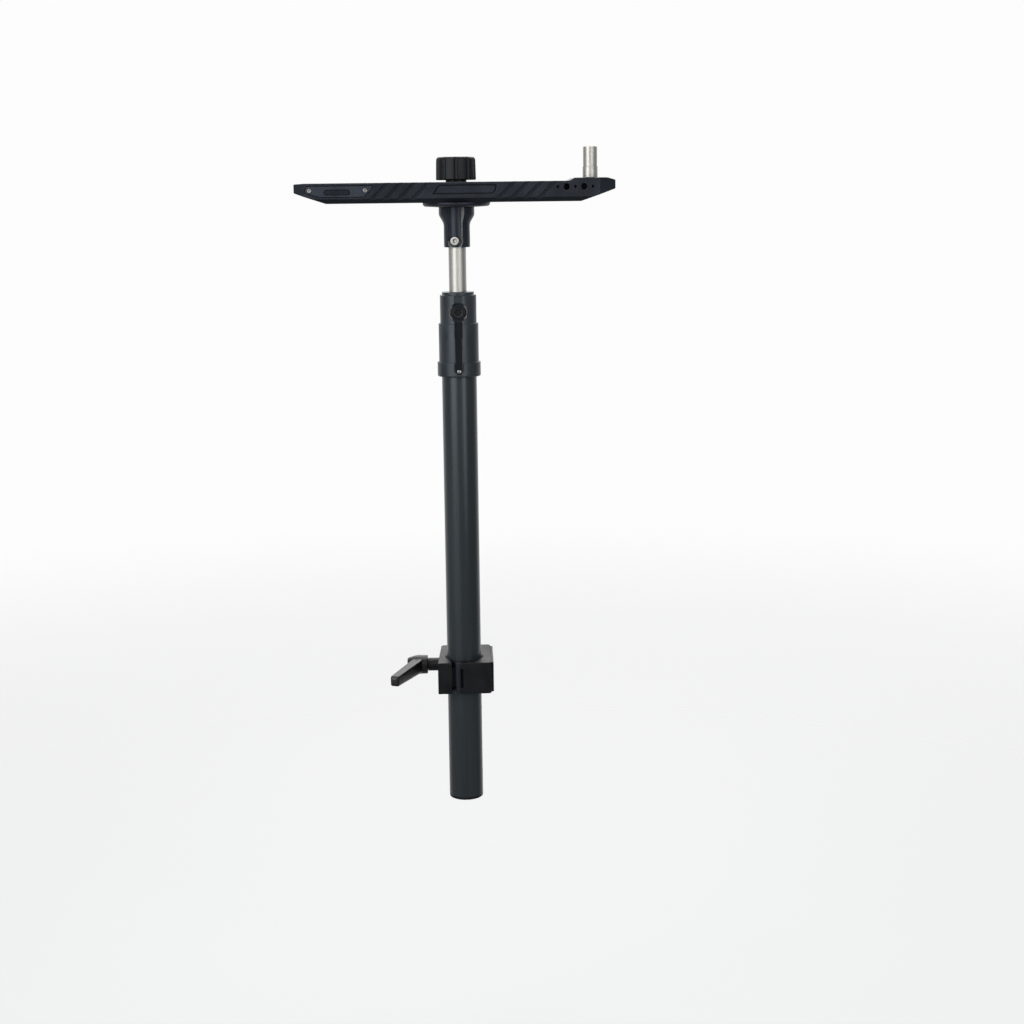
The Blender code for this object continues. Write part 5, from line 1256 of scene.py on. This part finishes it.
# %% Floor
FLOOR_Z, FLOOR_HALF, FILM, GREY = -0.40, 12, 0.92, 0.35
corners = [(x * FLOOR_HALF, y * FLOOR_HALF, FLOOR_Z) for x, y in ((-1, -1), (1, -1), (1, 1), (-1, 1))]
floor_mesh = bpy.data.meshes.new("floor")
floor_mesh.from_pydata(corners, [], [(0, 1, 2, 3)])
floor = bpy.data.objects.new("floor", floor_mesh)
bpy.context.collection.objects.link(floor)
pale = bpy.data.materials.new("pale_floor")
pale.use_nodes = True
tree = pale.node_tree
seen = added(tree, "LightPath").outputs["Is Camera Ray"]
tone = added(tree, "Mix", {
    "Factor": seen, "A": (GREY, GREY, GREY, 1), "B": (FILM, FILM, FILM, 1),
}, data_type="RGBA")
paint = fed(tree, tree.nodes["Principled BSDF"], {
    "Base Color": tone.outputs["Result"], "Roughness": 0.8, "Specular IOR Level": 0.1,
})
place = added(tree, "TexCoord")
away = added(tree, "VectorMath", {0: place.outputs["Object"]}, operation="LENGTH")
fade = added(tree, "MapRange", {
    "Value": away.outputs["Value"], "From Min": 0.3, "From Max": 3.0, "To Min": 0.62,
}, interpolation_type="SMOOTHSTEP")
clear = added(tree, "BsdfTransparent")
blend = added(tree, "MixShader", {
    "Fac": fade.outputs["Result"], 1: paint.outputs["BSDF"], 2: clear.outputs["BSDF"],
})
fed(tree, tree.nodes["Material Output"], {"Surface": blend.outputs["Shader"]})
floor_mesh.materials.append(pale)
print("floor at z =", FLOOR_Z, "m")

# %% [markdown]
# ## A studio that is white behind the stand
# The camera sees white in every direction. Metal also reflects that white, but only from behind the
# stand, because in a studio the side where the camera stands is dim. This keeps the dark finishes
# dark from the front, and gives every upper face and outline its pale sheen.

# %% World
world = bpy.data.worlds.new("studio")
bpy.context.scene.world = world
world.use_nodes = True
tree = world.node_tree
room = fed(tree, tree.nodes["Background"], {"Color": (0.80, 0.83, 0.88, 1), "Strength": 0.22})
white = added(tree, "Background", {"Color": (1, 1, 1, 1), "Strength": 0.98})
rays = added(tree, "LightPath").outputs
direction = added(tree, "TexCoord")
parts = added(tree, "SeparateXYZ", {"Vector": direction.outputs["Generated"]})
behind = added(tree, "MapRange", {
    "Value": parts.outputs["Y"], "From Min": 0.1, "From Max": 0.9, "To Min": 0.10,
}, interpolation_type="SMOOTHSTEP")
mirrored = added(tree, "Math", {0: rays["Is Glossy Ray"], 1: behind.outputs["Result"]}, operation="MULTIPLY")
seen = rays["Is Camera Ray"]
for other in (rays["Is Transmission Ray"], mirrored.outputs["Value"]):
    seen = added(tree, "Math", {0: seen, 1: other}, operation="MAXIMUM").outputs["Value"]
blend = added(tree, "MixShader", {"Fac": seen, 1: room.outputs["Background"], 2: white.outputs["Background"]})
fed(tree, tree.nodes["World Output"], {"Surface": blend.outputs["Shader"]})
print("world:", len(tree.nodes), "nodes")

# %% [markdown]
# ## Lamps
# Soft boxes, as in a product studio. The key stands high on the left and lays a broad sheen on the
# tube, and a weaker fill on the right keeps the far side readable. Both are aimed at the upper
# part, and a narrow spread keeps them off the lower end of the tube, which is darker. One lamp
# overhead lights the tops, and one behind draws the outline.

# %% Lamps
def soft_lamp(name, at, target, size, power, spread=180):
    """An area lamp, size in metres, that looks at its target. A narrow spread lights little else."""
    lamp = bpy.data.lights.new(name, "AREA")
    lamp.shape = "RECTANGLE"
    lamp.size, lamp.size_y = size
    lamp.energy = power
    lamp.spread = math.radians(spread)
    thing = bpy.data.objects.new(name, lamp)
    thing.location = at
    thing.rotation_euler = (Vector(target) - Vector(at)).to_track_quat("-Z", "Y").to_euler()
    bpy.context.collection.objects.link(thing)
    return thing


MIDDLE, HIGH = (-0.03, 0, 0.25), (-0.03, 0, 0.42)
soft_lamp("key", (-1.05, -1.25, 0.85), HIGH, (1.3, 1.8), 6.5, 80)
soft_lamp("fill", (0.80, -1.45, 0.7), HIGH, (0.7, 1.5), 2.3, 80)
soft_lamp("top", (-0.1, 0.15, 1.7), MIDDLE, (1.2, 1.0), 12)
soft_lamp("rear", (0.1, 1.5, 1.15), MIDDLE, (1.6, 0.7), 12)

# %% [markdown]
# ## Camera
# The place and the turn of the camera were worked out from the level and upright lines of the
# stand: 1.6 m in front of the pole, at the height of the bar, looking down by ten degrees. Its
# axes are built from yaw, pitch and roll, with no shift.

# %% Camera
FOCAL_PIXELS, PICTURE, SENSOR = 1750, 1024, 36
EYE = (-0.0268, -1.60893, 0.4492)
yaw, pitch, roll = math.radians(1.649), math.radians(10.419), math.radians(0.682)
forward = np.array([math.sin(yaw) * math.cos(pitch), math.cos(yaw) * math.cos(pitch), -math.sin(pitch)])
level = np.array([math.cos(yaw), -math.sin(yaw), 0])
upward = np.cross(level, forward)
side_axis = math.cos(roll) * level - math.sin(roll) * upward
up_axis = math.sin(roll) * level + math.cos(roll) * upward
lens = bpy.data.cameras.new("camera")
lens.sensor_width = SENSOR
lens.lens = SENSOR * FOCAL_PIXELS / PICTURE
lens.clip_start, lens.clip_end = 0.05, 60
camera = bpy.data.objects.new("camera", lens)
turn = Matrix(np.column_stack([side_axis, up_axis, -forward]).tolist()).to_4x4()
camera.matrix_world = Matrix.Translation(EYE) @ turn
bpy.context.collection.objects.link(camera)
bpy.context.scene.camera = camera
bpy.context.scene.view_settings.view_transform = "Standard"
print("lens", round(lens.lens, 2), "mm")
